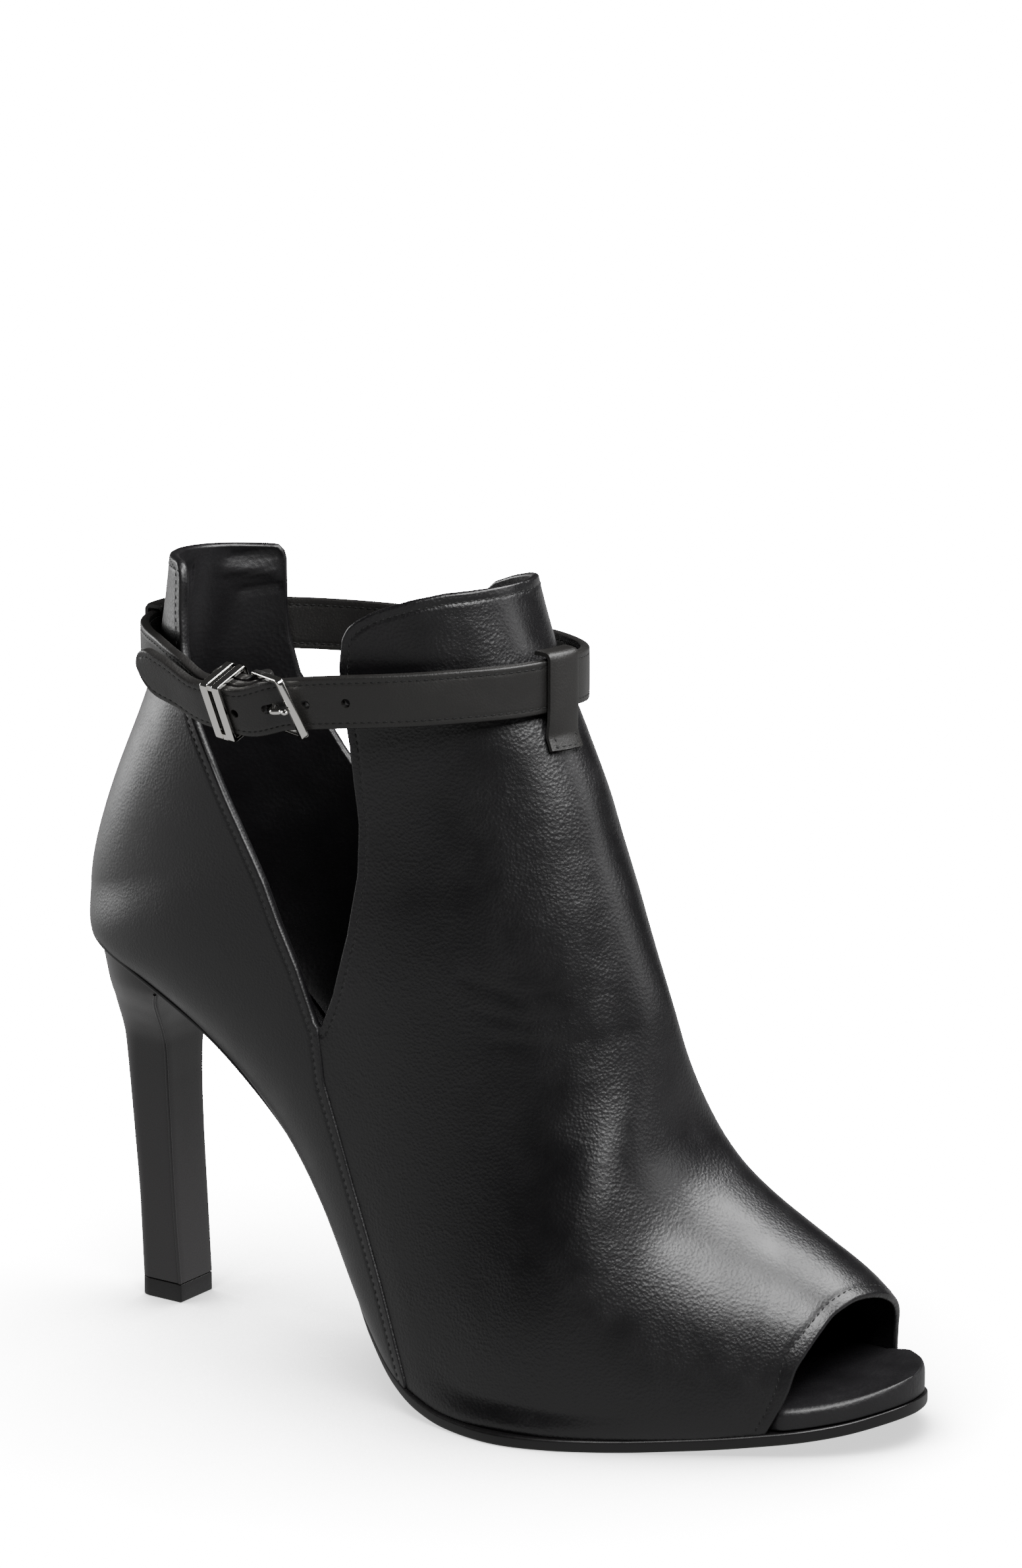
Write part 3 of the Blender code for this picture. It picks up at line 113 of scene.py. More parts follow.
# Offsets in rows, with their weights, over which the vamp's sides are evened out
EVENING = ((-1.8, 0.13), (-0.9, 0.23), (0.0, 0.28), (0.9, 0.23), (1.8, 0.13))

# Outline of the sole from the back round the outer side to the toe and back.
# x: share of LENGTH. y: share of BALL_WIDTH.
OUTLINE = (
    (0.000, 0.000), (0.015, -0.134), (0.048, -0.232), (0.103, -0.280), (0.170, -0.284), (0.245, -0.268),
    (0.321, -0.260), (0.388, -0.305), (0.455, -0.409), (0.530, -0.506), (0.602, -0.557), (0.652, -0.565),
    (0.706, -0.518), (0.769, -0.415), (0.828, -0.311), (0.883, -0.213), (0.933, -0.116), (0.971, -0.006),
    (0.994, 0.104), (1.000, 0.189), (0.994, 0.280), (0.973, 0.372), (0.937, 0.439), (0.883, 0.470),
    (0.811, 0.463), (0.740, 0.445), (0.665, 0.409), (0.581, 0.335), (0.505, 0.268), (0.434, 0.232),
    (0.350, 0.220), (0.266, 0.232), (0.182, 0.268), (0.111, 0.280), (0.057, 0.244), (0.017, 0.140),
)

# Underside of the sole along its length.
# x: share of LENGTH. heel: share of HEEL_HEIGHT. spring: of TOE_SPRING. tread: of the step in thickness.
SOLE = (
    (0.000, 1.007, 0.00, 0.0), (0.036, 0.987, 0.00, 0.0), (0.073, 0.957, 0.00, 0.0),
    (0.119, 0.915, 0.00, 0.0), (0.161, 0.865, 0.00, 0.0), (0.203, 0.805, 0.00, 0.0),
    (0.245, 0.725, 0.00, 0.0), (0.287, 0.630, 0.00, 0.0), (0.329, 0.520, 0.00, 0.0),
    (0.371, 0.395, 0.00, 0.0), (0.413, 0.260, 0.00, 0.2), (0.455, 0.140, 0.00, 0.5),
    (0.497, 0.060, 0.00, 0.8), (0.539, 0.020, 0.00, 1.0), (0.581, 0.003, 0.00, 1.0),
    (0.614, 0.000, 0.00, 1.0), (0.748, 0.000, 0.00, 1.0), (0.832, 0.000, 0.13, 1.0),
    (0.895, 0.000, 0.33, 1.0), (0.958, 0.000, 0.64, 1.0), (1.000, 0.000, 1.00, 1.0),
)

# Heel block. level: share of HEEL_HEIGHT. front, back: shares of LENGTH. half: share of BALL_WIDTH.
# corner: how round it is.
HEEL = (
    (0.000, 0.1180, 0.0624, 0.081, 0.25), (0.250, 0.1113, 0.0585, 0.087, 0.28),
    (0.470, 0.1065, 0.0503, 0.088, 0.32), (0.620, 0.1045, 0.0440, 0.092, 0.38),
    (0.700, 0.1045, 0.0402, 0.100, 0.46), (0.745, 0.1075, 0.0378, 0.124, 0.54),
    (0.800, 0.1160, 0.0345, 0.176, 0.66), (0.850, 0.1265, 0.0302, 0.228, 0.78),
    (0.890, 0.1370, 0.0255, 0.258, 0.88), (1.060, 0.1500, 0.0030, 0.280, 0.96),
)

# Edges of the side cut-out from the V upwards, and the seam below it.
# x: share of LENGTH. rise: 1 at the instep height, 2 at the top of the shaft.
TAB_EDGE = (
    (0.3850, 0.836), (0.3590, 0.959), (0.3340, 1.063), (0.3140, 1.163), (0.2880, 1.268), (0.2650, 1.363),
    (0.2430, 1.458), (0.2155, 1.564), (0.1985, 1.669), (0.1895, 1.743), (0.1845, 1.828), (0.1824, 1.900),
)
TAB_EDGE_INNER = (
    (0.3850, 0.836), (0.3570, 0.959), (0.3270, 1.063), (0.3010, 1.163), (0.2680, 1.268), (0.2360, 1.363),
    (0.2090, 1.458), (0.1870, 1.564), (0.1800, 1.669), (0.1790, 1.743), (0.1800, 1.828), (0.1810, 1.900),
)
VAMP_EDGE = (
    (0.3900, 0.836), (0.4040, 0.911), (0.4200, 1.060), (0.4290, 1.226), (0.4280, 1.363), (0.4215, 1.470),
    (0.4170, 1.564), (0.4085, 1.680),
)
VAMP_TOP_OUTER = (
    (0.4056, 1.772), (0.4087, 1.850), (0.4150, 1.880), (0.4250, 1.902), (0.4395, 1.924), (0.4540, 1.940),
    (0.4800, 1.964), (0.5100, 1.984), (0.5400, 1.992), (0.5700, 2.000), (0.6200, 2.015),
)
VAMP_TOP_INNER = (
    (0.4060, 1.730), (0.4090, 1.800), (0.4210, 1.856), (0.4430, 1.903), (0.4760, 1.937), (0.5090, 1.965),
    (0.5400, 1.988), (0.5700, 2.000), (0.6200, 2.015),
)
SEAM = (
    (0.200, 2.600), (0.260, 2.000), (0.330, 1.500), (0.372, 1.080), (0.3875, 0.836), (0.397, 0.708),
    (0.439, 0.484), (0.481, 0.278), (0.519, 0.081), (0.545, -0.100),
)
V_TIP_RADIUS = 1.2 * MM
TAB_TOP_OUTER = 0.985
TAB_TOP_BACK = 0.974
TAB_TOP_INNER = 0.966
TAB_CORNER_OUTER = 6.0 * MM
TAB_CORNER_INNER = 11.0 * MM

# Edge of the toe opening seen from above. x: share of LENGTH. y: share of BALL_WIDTH.
# Its outer foot runs back further, by a share of LENGTH, below a height.
OPENING_FOOT = 0.022
OPENING_FOOT_HEIGHT = 17.0 * MM
OPENING = (
    (0.9070, -0.400), (0.9110, -0.270), (0.9140, -0.200), (0.9170, -0.160), (0.9210, -0.129),
    (0.9260, -0.102), (0.9310, -0.067), (0.9350, -0.028), (0.9380, 0.014), (0.9420, 0.057),
    (0.9450, 0.100), (0.9490, 0.156), (0.9520, 0.213), (0.9530, 0.270), (0.9490, 0.330),
    (0.9410, 0.385), (0.9270, 0.440), (0.9050, 0.500),
)

# Height and lean of the strap round the ankle. turn: 0 at the front, 90 outside, 180 at the back.
# rise: share of SHAFT_HEIGHT. lean: degrees by which its top stands further out than its foot.
STRAP_RISE = (
    (0.0, 0.888, 0.0), (35.0, 0.881, 0.0), (55.0, 0.874, 2.0), (72.0, 0.867, 5.0),
    (86.0, 0.857, 12.0), (98.7, 0.8395, 20.0), (110.0, 0.840, 24.0), (122.0, 0.855, 19.0),
    (136.0, 0.862, 9.0), (150.0, 0.861, 2.0), (166.0, 0.859, 0.0), (180.0, 0.858, 0.0),
    (230.0, 0.859, 0.0), (270.0, 0.862, 0.0), (320.0, 0.874, 0.0), (360.0, 0.888, 0.0),
)

# How the photo was taken: the image's size, the lens, the angles and a heel tip's corner with its pixel
IMAGE_WIDTH = 1552.0
IMAGE_HEIGHT = 2380.0
FOCAL_PIXELS = 10822.0
CAMERA_AZIMUTH = 35.0
CAMERA_ELEVATION = 15.1
HEEL_CORNER = (27.07 * MM, -6.18 * MM, 0.0)
HEEL_CORNER_PIXEL = (279.6, 1978.8)
HEEL_CORNER_DEPTH = 1757.5 * MM
SENSOR_LONG_SIDE = 36.0

Array = np.ndarray


def column(rows: Sequence, index: int) -> Array:
    """One column of a table, as an array."""
    return np.array([row[index] for row in rows], float)


def smooth(knots: Array, values: Array, at: Array) -> Array:
    """A smooth curve through the knots that never swings past them (monotone cubic).

    Args:
        knots: Places of the knots, rising.
        values: Value at each knot.
        at: Places where the curve is wanted.

    Returns:
        The curve's values at those places.
    """
    at = np.asarray(at, float)
    step = np.diff(knots)
    slope = np.diff(values) / step
    tangent = np.zeros(len(knots))
    tangent[0], tangent[-1] = slope[0], slope[-1]
    for i in range(1, len(knots) - 1):
        before, after = slope[i - 1], slope[i]
        if before * after > 0:
            near, far = 2 * step[i] + step[i - 1], step[i] + 2 * step[i - 1]
            tangent[i] = (near + far) / (near / before + far / after)
    cell = np.clip(np.searchsorted(knots, at, side="right") - 1, 0, len(step) - 1)
    h = step[cell]
    t = np.clip((at - knots[cell]) / h, 0.0, 1.0)
    low, high = values[cell], values[cell + 1]
    return ((1 + 2 * t) * (1 - t) ** 2 * low + t * (1 - t) ** 2 * h * tangent[cell]
            + t * t * (3 - 2 * t) * high + t * t * (t - 1) * h * tangent[cell + 1])


def natural(knots: Array, values: Array, at: Array) -> Array:
    """A smooth curve through the knots with an even bend (natural cubic).

    Args:
        knots: Places of the knots, rising.
        values: Value at each knot.
        at: Places where the curve is wanted.

    Returns:
        The curve's values at those places.
    """
    at = np.asarray(at, float)
    h = np.diff(knots)
    size = len(knots)
    system, wanted = np.eye(size), np.zeros(size)
    for i in range(1, size - 1):
        system[i, i - 1:i + 2] = h[i - 1], 2 * (h[i - 1] + h[i]), h[i]
        wanted[i] = 6 * ((values[i + 1] - values[i]) / h[i] - (values[i] - values[i - 1]) / h[i - 1])
    bend = np.linalg.solve(system, wanted)
    cell = np.clip(np.searchsorted(knots, at, side="right") - 1, 0, size - 2)
    left, right, wide = at - knots[cell], knots[cell + 1] - at, h[cell]
    return (bend[cell] * right ** 3 / (6 * wide) + bend[cell + 1] * left ** 3 / (6 * wide)
            + (values[cell] / wide - bend[cell] * wide / 6) * right
            + (values[cell + 1] / wide - bend[cell + 1] * wide / 6) * left)


def ease(share: Array) -> Array:
    """A soft step from 0 to 1 over the shares 0 to 1."""
    share = np.clip(share, 0.0, 1.0)
    return share * share * (3 - 2 * share)


def climb(rise: Array, knee: float) -> Array:
    """Height of a rise: 0 at the floor, 1 at the knee height, 2 at the top of the shaft."""
    rise = np.asarray(rise, float)
    return knee * np.minimum(rise, 1.0) + (SHAFT_HEIGHT - knee) * np.maximum(rise - 1.0, 0.0)


def unit(vectors: Array) -> Array:
    """Vectors made one long."""
    return vectors / np.maximum(np.linalg.norm(vectors, axis=-1, keepdims=True), 1e-12)


def closed_curve(points: Array, count: int) -> Array:
    """Evenly spaced points of a smooth closed curve through the given ones (centripetal Catmull-Rom)."""
    size = len(points)
    dense = []
    for i in range(size):
        p0, p1, p2, p3 = (points[(i + k) % size] for k in (-1, 0, 1, 2))
        t1 = math.sqrt(np.linalg.norm(p1 - p0))
        t2 = t1 + math.sqrt(np.linalg.norm(p2 - p1))
        t3 = t2 + math.sqrt(np.linalg.norm(p3 - p2))
        for t in np.linspace(t1, t2, 24, endpoint=False):
            a1 = p0 * (t1 - t) / t1 + p1 * t / t1
            a2 = p1 * (t2 - t) / (t2 - t1) + p2 * (t - t1) / (t2 - t1)
            a3 = p2 * (t3 - t) / (t3 - t2) + p3 * (t - t2) / (t3 - t2)
            b1 = a1 * (t2 - t) / t2 + a2 * t / t2
            b2 = a2 * (t3 - t) / (t3 - t1) + a3 * (t - t1) / (t3 - t1)
            dense.append(b1 * (t2 - t) / (t2 - t1) + b2 * (t - t1) / (t2 - t1))
    dense = np.array(dense + [dense[0]])
    along = np.concatenate([[0.0], np.cumsum(np.linalg.norm(np.diff(dense, axis=0), axis=1))])
    at = np.linspace(0.0, along[-1], count, endpoint=False)
    return np.stack([np.interp(at, along, dense[:, k]) for k in range(points.shape[1])], 1)


def rounded(points: Sequence, radii: Sequence[float], steps: int = 6) -> Array:
    """An outline with its corners rounded off, a radius for each corner."""
    points = [np.asarray(p, float) for p in points]
    made = []
    for i, corner in enumerate(points):
        if radii[i] <= 0:
            made.append(corner)
            continue
        to_before, to_after = points[i - 1] - corner, points[(i + 1) % len(points)] - corner
        long_before, long_after = np.linalg.norm(to_before), np.linalg.norm(to_after)
        to_before, to_after = to_before / long_before, to_after / long_after
        half = math.acos(float(np.clip(np.dot(to_before, to_after), -1.0, 1.0))) / 2
        reach = min(radii[i] / math.tan(half), 0.49 * long_before, 0.49 * long_after)
        start, end = corner + to_before * reach, corner + to_after * reach
        for t in np.linspace(0.0, 1.0, steps + 1):
            made.append((1 - t) ** 2 * start + 2 * t * (1 - t) * corner + t * t * end)
    return np.array(made)


def sole_bottom(x: Array) -> Array:
    """Height of the underside of the sole at x."""
    share = np.asarray(x, float) / LENGTH
    knots = column(SOLE, 0)
    return HEEL_HEIGHT * smooth(knots, column(SOLE, 1), share) + TOE_SPRING * smooth(knots, column(SOLE, 2),
                                                                                     share)


def feather(x: Array) -> Array:
    """Height of the top of the sole at x, where the upper and the insole sit on it."""
    tread = smooth(column(SOLE, 0), column(SOLE, 3), np.asarray(x, float) / LENGTH)
    return sole_bottom(x) + (1.7 + 1.3 * tread) * MM


def sole_sides(inset: Callable[[Array, Array], Array], count: int,
               fine: bool = False) -> tuple[Array, Array, Array]:
    """Stations along the sole with its two edges there.

    Args:
        inset: How far inside the outline the edge runs, from x and y.
        count: Number of stations.
        fine: Whether the stations crowd at the two ends, so that the toe and the back come out round.

    Returns:
        The arrays x, outer y and inner y.
    """
    outline = closed_curve(np.array([(x * LENGTH, y * BALL_WIDTH) for x, y in OUTLINE]),
                           1200 if fine else 480)
    along = unit(np.roll(outline, -1, axis=0) - np.roll(outline, 1, axis=0))
    inwards = np.stack([-along[:, 1], along[:, 0]], 1)
    outline = outline + inwards * inset(outline[:, 0], outline[:, 1])[:, None]
    back, front = int(np.argmin(outline[:, 0])), int(np.argmax(outline[:, 0]))
    loop = np.roll(outline, -back, axis=0)
    turn = (front - back) % len(outline)
    outer, inner = loop[: turn + 1], np.vstack([loop[turn:], loop[:1]])[::-1]
    even = np.linspace(0.004, 0.996, count)
    ends = 0.5 - 0.5 * np.cos(math.pi * even)
    x = outer[0, 0] + (outer[-1, 0] - outer[0, 0]) * (ends if fine else 0.6 * ends + 0.4 * even)
    return (x, np.interp(x, np.maximum.accumulate(outer[:, 0]), outer[:, 1]),
            np.interp(x, np.maximum.accumulate(inner[:, 0]), inner[:, 1]))


class Last:
    """The shape inside the boot: a fan of sections from the toe up to the collar."""

    def __init__(self) -> None:
        """Works out the sections and how full each is below its widest place."""
        self.rows = np.arange(len(SECTIONS), dtype=float)
        self.table = {name: column(SECTIONS, i) for i, name in enumerate(SECTION_COLUMNS)}
        self.table["foot_x"] = self.table["foot_x"] * LENGTH
        self.table["head_x"] = self.table["head_x"] * LENGTH
        self.table["foot_z"] = climb(self.table["foot_rise"], HEEL_HEIGHT)
        self.table["head_z"] = climb(self.table["head_rise"], INSTEP_HEIGHT)
        for name in ("outer", "inner", "ridge"):
            self.table[name] = self.table[name] * BALL_WIDTH
        x, outer, inner = sole_sides(lambda x, y: EDGE_SHOWN + 0 * x, 80)
        for side, edge in (("outer", outer), ("inner", inner)):
            self.table["under_" + side] = np.array(
                [self.fullness(row, side, x, edge) for row in range(len(SECTIONS))])

    def fullness(self, row: int, side: str, edge_x: Array, edge_y: Array) -> float:
        """How full a section is below its widest place, so that it meets the edge of the sole."""
        t = np.linspace(0.0, 1.0, 2001)
        x = self.table["foot_x"][row] + t * (self.table["head_x"][row] - self.table["foot_x"][row])
        z = self.table["foot_z"][row] + t * (self.table["head_z"][row] - self.table["foot_z"][row])
        above = z - feather(x)
        if above[0] > 0:
            return ANKLE_FULLNESS
        first = int(np.argmax(above > 0))
        ridge = self.table["ridge"][row]
        reach = self.table[side][row] - ridge
        share = float(np.clip((np.interp(x[first], edge_x, edge_y) - ridge) / reach, 0.05, 0.985))
        depth = float(np.clip(1 - t[first] / self.table["widest"][row], 0.05, 0.985))
        low, high = 1.2, 7.0
        for _ in range(40):
            middle = (low + high) / 2
            low, high = (middle, high) if share ** middle + depth ** middle > 1 else (low, middle)
        return (low + high) / 2

    def at(self, place: Array, name: str) -> Array:
        """A column of the table at places along the last, in whole and part rows."""
        curve = smooth if name in ("under_outer", "under_inner", "widest", "over") else natural
        return curve(self.rows, self.table[name], place)

    def across(self, place: Array, up: Array, side: Array) -> tuple[Array, Array]:
        """Size of the section's outline and its distance to the side, before it is evened out."""
        inner = side > 0
        under = np.where(inner, self.at(place, "under_inner"), self.at(place, "under_outer"))
        full = np.where(up > 0, self.at(place, "over"), under)
        size = (np.abs(up) ** full + np.abs(side) ** full) ** (-1 / full)
        ridge = self.at(place, "ridge")
        reach = np.where(inner, self.at(place, "inner"), self.at(place, "outer")) - ridge
        return size, ridge + reach * np.abs(side) * size

    def surface(self, place: Array, turn: Array) -> Array:
        """Points of the last's skin.

        Args:
            place: How far up the fan, from 0 at the toe.
            turn: Turn round the section, 0 at its head and rising over the inner side.

        Returns:
            One point for each pair.
        """
        up, side = np.cos(turn), np.sin(turn)
        size, y = self.across(place, up, side)
        even = sum(weight * self.across(np.clip(place + off, 0.0, self.rows[-1]), up, side)[1] for off,
                   weight in EVENING)
        share = ease((up + 0.75) / 0.75) * ease(place / 2) * (1 - ease((place - 11) / 3))
        y = y + share * (even - y)
        widest = self.at(place, "widest")
        height = widest + np.where(up > 0, 1 - widest, widest) * up * size
        foot_x, foot_z = self.at(place, "foot_x"), self.at(place, "foot_z")
        x = foot_x + (self.at(place, "head_x") - foot_x) * height
        z = foot_z + (self.at(place, "head_z") - foot_z) * height
        return np.stack([x, y, z], -1)

    def shaft_x(self, end: str, z: float) -> float:
        """Where the front ("head") or the back ("foot") line of the shaft stands at a height."""
        places = np.linspace(9.0, self.rows[-1], 400)
        return float(np.interp(z, self.at(places, end + "_z"), self.at(places, end + "_x")))


def normals_of(skin: Callable[[Array, Array], Array], place: Array, turn: Array) -> Array:
    """Outward directions of a skin that is a function of place and turn."""
    by_place = skin(np.minimum(place + 0.02, len(SECTIONS) - 1.0), turn) - skin(np.maximum(place - 0.02, 0.0),
                                                                                turn)
    by_turn = skin(place, turn + 0.012) - skin(place, turn - 0.012)
    return unit(np.cross(by_turn, by_place))


class Edge(Enum):
    """The kinds of edge that a panel of the upper can have."""

    SOLE = "sole"
    TOP = "top"
    SIDE = "side"
    TOE = "toe"
    SEAM = "seam"


def outline_distance(points: Array, outline: Array, closed: bool = True) -> Array:
    """Distance of flat points to an outline, positive outside a closed one or right of an open one.

    Args:
        points: The points, two numbers each.
        outline: The outline's corners in order.
        closed: Whether the last corner joins the first.

    Returns:
        A signed distance for each point.
    """
    start = outline if closed else outline[:-1]
    end = np.roll(outline, -1, axis=0) if closed else outline[1:]
    best = np.full(len(points), np.inf)
    sign = np.ones(len(points))
    inside = np.zeros(len(points), bool)
    for a, b in zip(start, end):
        run = b - a
        t = np.clip(((points - a) @ run) / (run @ run), 0.0, 1.0)
        off = points - a - t[:, None] * run
        away = np.hypot(off[:, 0], off[:, 1])
        nearer = away < best
        best = np.where(nearer, away, best)
        turn = run[0] * (points[:, 1] - a[1]) - run[1] * (points[:, 0] - a[0])
        sign = np.where(nearer, np.where(turn < 0, 1.0, -1.0), sign)
        crosses = (a[1] > points[:, 1]) != (b[1] > points[:, 1])
        if crosses.any():
            level = (b[0] - a[0]) * (points[:, 1] - a[1]) / (b[1] - a[1] + 1e-15) + a[0]
            inside ^= crosses & (points[:, 0] < level)
    return best * (np.where(inside, -1.0, 1.0) if closed else sign)


def side_line(rows: Sequence) -> list[tuple[float, float]]:
    """Points (x, z) of a line given by shares of the length and rises."""
    return [(x * LENGTH, float(climb(rise, INSTEP_HEIGHT))) for x, rise in rows]


def cut_out_outline(top: float, corner: float, tab_edge: Sequence, vamp_top: Sequence) -> Array:
    """Outline in (x, z) of what the side cut-out takes away on one side."""
    tab, vamp = side_line(tab_edge), side_line(VAMP_EDGE + tuple(vamp_top))
    above = 1.3 * SHAFT_HEIGHT
    back_top = max(top, TAB_TOP_BACK) * SHAFT_HEIGHT + MM
    outline = [(-0.2 * LENGTH, back_top), (0.125 * LENGTH, back_top), (tab[-1][0], top * SHAFT_HEIGHT)]
    outline += tab[-2::-1] + vamp + [(1.2 * LENGTH, vamp[-1][1]), (1.2 * LENGTH, above),
                                     (-0.2 * LENGTH, above)]
    radii = [0.0, 0.0, corner] + [0.0] * (len(outline) - 3)
    tip = 2 + len(tab) - 1
    radii[tip] = radii[tip + 1] = V_TIP_RADIUS
    return rounded(outline, radii)


class Cuts:
    """Signed distances to the upper's edges, positive where the leather is."""

    def __init__(self) -> None:
        """Draws the outlines once."""
        self.outer = cut_out_outline(TAB_TOP_OUTER, TAB_CORNER_OUTER, TAB_EDGE, VAMP_TOP_OUTER)
        self.inner = cut_out_outline(TAB_TOP_INNER, TAB_CORNER_INNER, TAB_EDGE_INNER, VAMP_TOP_INNER)
        self.seam_line = np.array(side_line(SEAM))
        dense = np.linspace(OPENING[0][1], OPENING[-1][1], 40)
        xs = smooth(column(OPENING, 1), column(OPENING, 0), dense)
        self.opening = np.stack([xs * LENGTH, dense * BALL_WIDTH], 1)

    def distance(self, edge: Edge, points: Array) -> Array:
        """Signed distance of skin points to one edge."""
        if edge is Edge.SOLE:
            return 0.8 * (points[:, 2] - feather(points[:, 0]) + 0.7 * MM)
        if edge is Edge.TOP:
            fall = (TAB_TOP_INNER - TAB_TOP_OUTER) * SHAFT_HEIGHT / (2 * 0.28 * BALL_WIDTH)
            height = TAB_TOP_BACK * SHAFT_HEIGHT + fall * points[:, 1] - points[:, 2]
            return np.where(points[:, 0] < 0.21 * LENGTH, height, 1.0)
        if edge is Edge.SIDE:
            flat = points[:, (0, 2)]
            return np.where(points[:, 1] < 0, outline_distance(flat, self.outer),
                            outline_distance(flat, self.inner))
        if edge is Edge.TOE:
            low = np.clip(1.15 * (1.0 - points[:, 2] / OPENING_FOOT_HEIGHT), 0.0, 1.0) ** 1.5
            pull = OPENING_FOOT * LENGTH * low * (points[:, 1] < 0)
            flat = np.stack([points[:, 0] + pull, points[:, 1]], 1)
            return -outline_distance(flat, self.opening, closed=False)
        return outline_distance(points[:, (0, 2)], self.seam_line, closed=False)


@dataclass
class Trimmed:
    """A trimmed stretch of the last's skin: where its points lie, its faces and its edges."""

    place: Array
    turn: Array
    faces: list
    loops: list
    kinds: list


class Skin:
    """A fine grid over the last that panels are trimmed from."""

    def __init__(self, last: Last, cuts: Cuts, rows: int, columns: int) -> None:
        """Lays the grid out.

        Args:
            last: The last.
            cuts: Distances to the upper's edges.
            rows: Number of steps from the toe to the collar.
            columns: Number of steps round a section.
        """
        self.last, self.cuts, self.rows, self.columns = last, cuts, rows, columns
        self.places = np.linspace(0.0, last.rows[-1], rows + 1)
        self.turns = np.linspace(0.0, 2 * math.pi, columns, endpoint=False)
        self.step = 2 * math.pi / columns
        self.place, self.turn = (a.ravel() for a in np.meshgrid(self.places, self.turns, indexing="ij"))
        self.points = last.surface(self.place, self.turn)

    def value(self, edges: dict[Edge, float], points: Array, signs: dict[Edge, float]) -> tuple[Array, Array]:
        """Smallest distance beyond each edge's own reach, and which edge gives it."""
        found = np.stack([signs.get(e, 1.0) * self.cuts.distance(e, points) - reach for e,
                          reach in edges.items()])
        return found.min(0), found.argmin(0)

    def trim(self, edges: dict[Edge, float], signs: dict[Edge, float] | None = None) -> Trimmed:
        """Cuts a panel out of the grid.

        Args:
            edges: How far inside each edge the sheet ends.
            signs: Minus one for an edge whose other side is kept.

        Returns:
            The trimmed panel, with its edge loops in order.
        """
        signs = signs or {}
        columns, rows = self.columns, self.rows
        value = self.value(edges, self.points, signs)[0].reshape(rows + 1, columns)
        inside = value > 0
        place, turn = [self.place], [self.turn]
        count = len(self.place)
        crossing = {}
        for kind, other in (("across", np.roll(inside, -1, axis=1)),
                            ("up", np.vstack([inside[1:], inside[-1:]]))):
            i, j = np.nonzero(inside != other)
            low, high = np.zeros(len(i)), np.ones(len(i))
            start_in = inside[i, j]
            for _ in range(13):
                middle = (low + high) / 2
                p = self.places[i] + (self.places[1] * middle if kind == "up" else 0.0)
                t = self.turns[j] + (self.step * middle if kind == "across" else 0.0)
                now = self.value(edges, self.last.surface(p, t), signs)[0] > 0
                same = now == start_in
                low, high = np.where(same, middle, low), np.where(same, high, middle)
            middle = (low + high) / 2
            place.append(self.places[i] + (self.places[1] * middle if kind == "up" else 0.0))
            turn.append(self.turns[j] + (self.step * middle if kind == "across" else 0.0))
            crossing[kind] = {key: count + k for k, key in enumerate(zip(i.tolist(), j.tolist()))}
            count += len(i)
        place, turn = np.concatenate(place), np.concatenate(turn)
        faces, follow = self.cells(inside, crossing)
        used = np.unique(np.array([v for face in faces for v in face]))
        renumber = np.full(count, -1)
        renumber[used] = np.arange(len(used))
        faces = [tuple(int(renumber[v]) for v in face) for face in faces]
        place, turn = place[used], turn[used]
        loops, kinds = [], []
        names = list(edges)
        follow = {int(renumber[a]): int(renumber[b]) for a, b in follow.items()}
        while follow:
            start = next(iter(follow))
            loop, here = [], start
            while here in follow:
                loop.append(here)
                here = follow.pop(here)
            loops.append(np.array(loop))
            which = self.value(edges, self.last.surface(place[loop], turn[loop]), signs)[1]
            kinds.append([names[k] for k in which])
        return Trimmed(place, turn, faces, loops, kinds)

    def cells(self, inside: Array, crossing: dict) -> tuple[list, dict]:
        """Faces of the kept cells, with the cut ones clipped, and which edge point follows which."""
        columns = self.columns
        right = np.roll(inside, -1, axis=1)
        total = inside[:-1].astype(int) + right[:-1] + inside[1:] + right[1:]
        i, j = np.nonzero(total == 4)
        k = (j + 1) % columns
        faces = np.stack([i * columns + j, i * columns + k, (i + 1) * columns + k, (i + 1) * columns + j],
                         1).tolist()
        follow = {}
        for i, j in zip(*np.nonzero((total > 0) & (total < 4))):
            i, j = int(i), int(j)
            k = (j + 1) % columns
            corners = ((i, j), (i, k), (i + 1, k), (i + 1, j))
            sides = (("across", (i, j)), ("up", (i, k)), ("across", (i + 1, j)), ("up", (i, j)))
            face, leaving = [], None
            entering = None
            for n in range(4):
                here, after = corners[n], corners[(n + 1) % 4]
                if inside[here]:
                    face.append(here[0] * columns + here[1])
                if inside[here] != inside[after]:
                    kind, key = sides[n]
                    point = crossing[kind][key]
                    face.append(point)
                    if inside[here]:
                        leaving = point
                    else:
                        entering = point
            if len(face) > 2:
                faces.append(face)
                follow[leaving] = entering
        return faces, follow


@dataclass(frozen=True)
class Crease:
    """A soft trough or ridge in the leather, along a line seen from the side.

    Args:
        line: Points of the line: share of the length and rise.
        side: 1 on the inner side, -1 on the outer side.
        width: Half its width.
        depth: How deep it lies, negative for a ridge.
    """

    line: tuple
    side: int
    width: float
    depth: float

    def relief(self, points: Array) -> Array:
        """How far it lowers the leather at the points."""
        line = np.array(side_line(self.line))
        flat = points[:, (0, 2)]
        away = np.abs(outline_distance(flat, line, closed=False))
        near = np.exp(-(away / self.width) ** 2)
        return -self.depth * near * (points[:, 1] * self.side > 0)


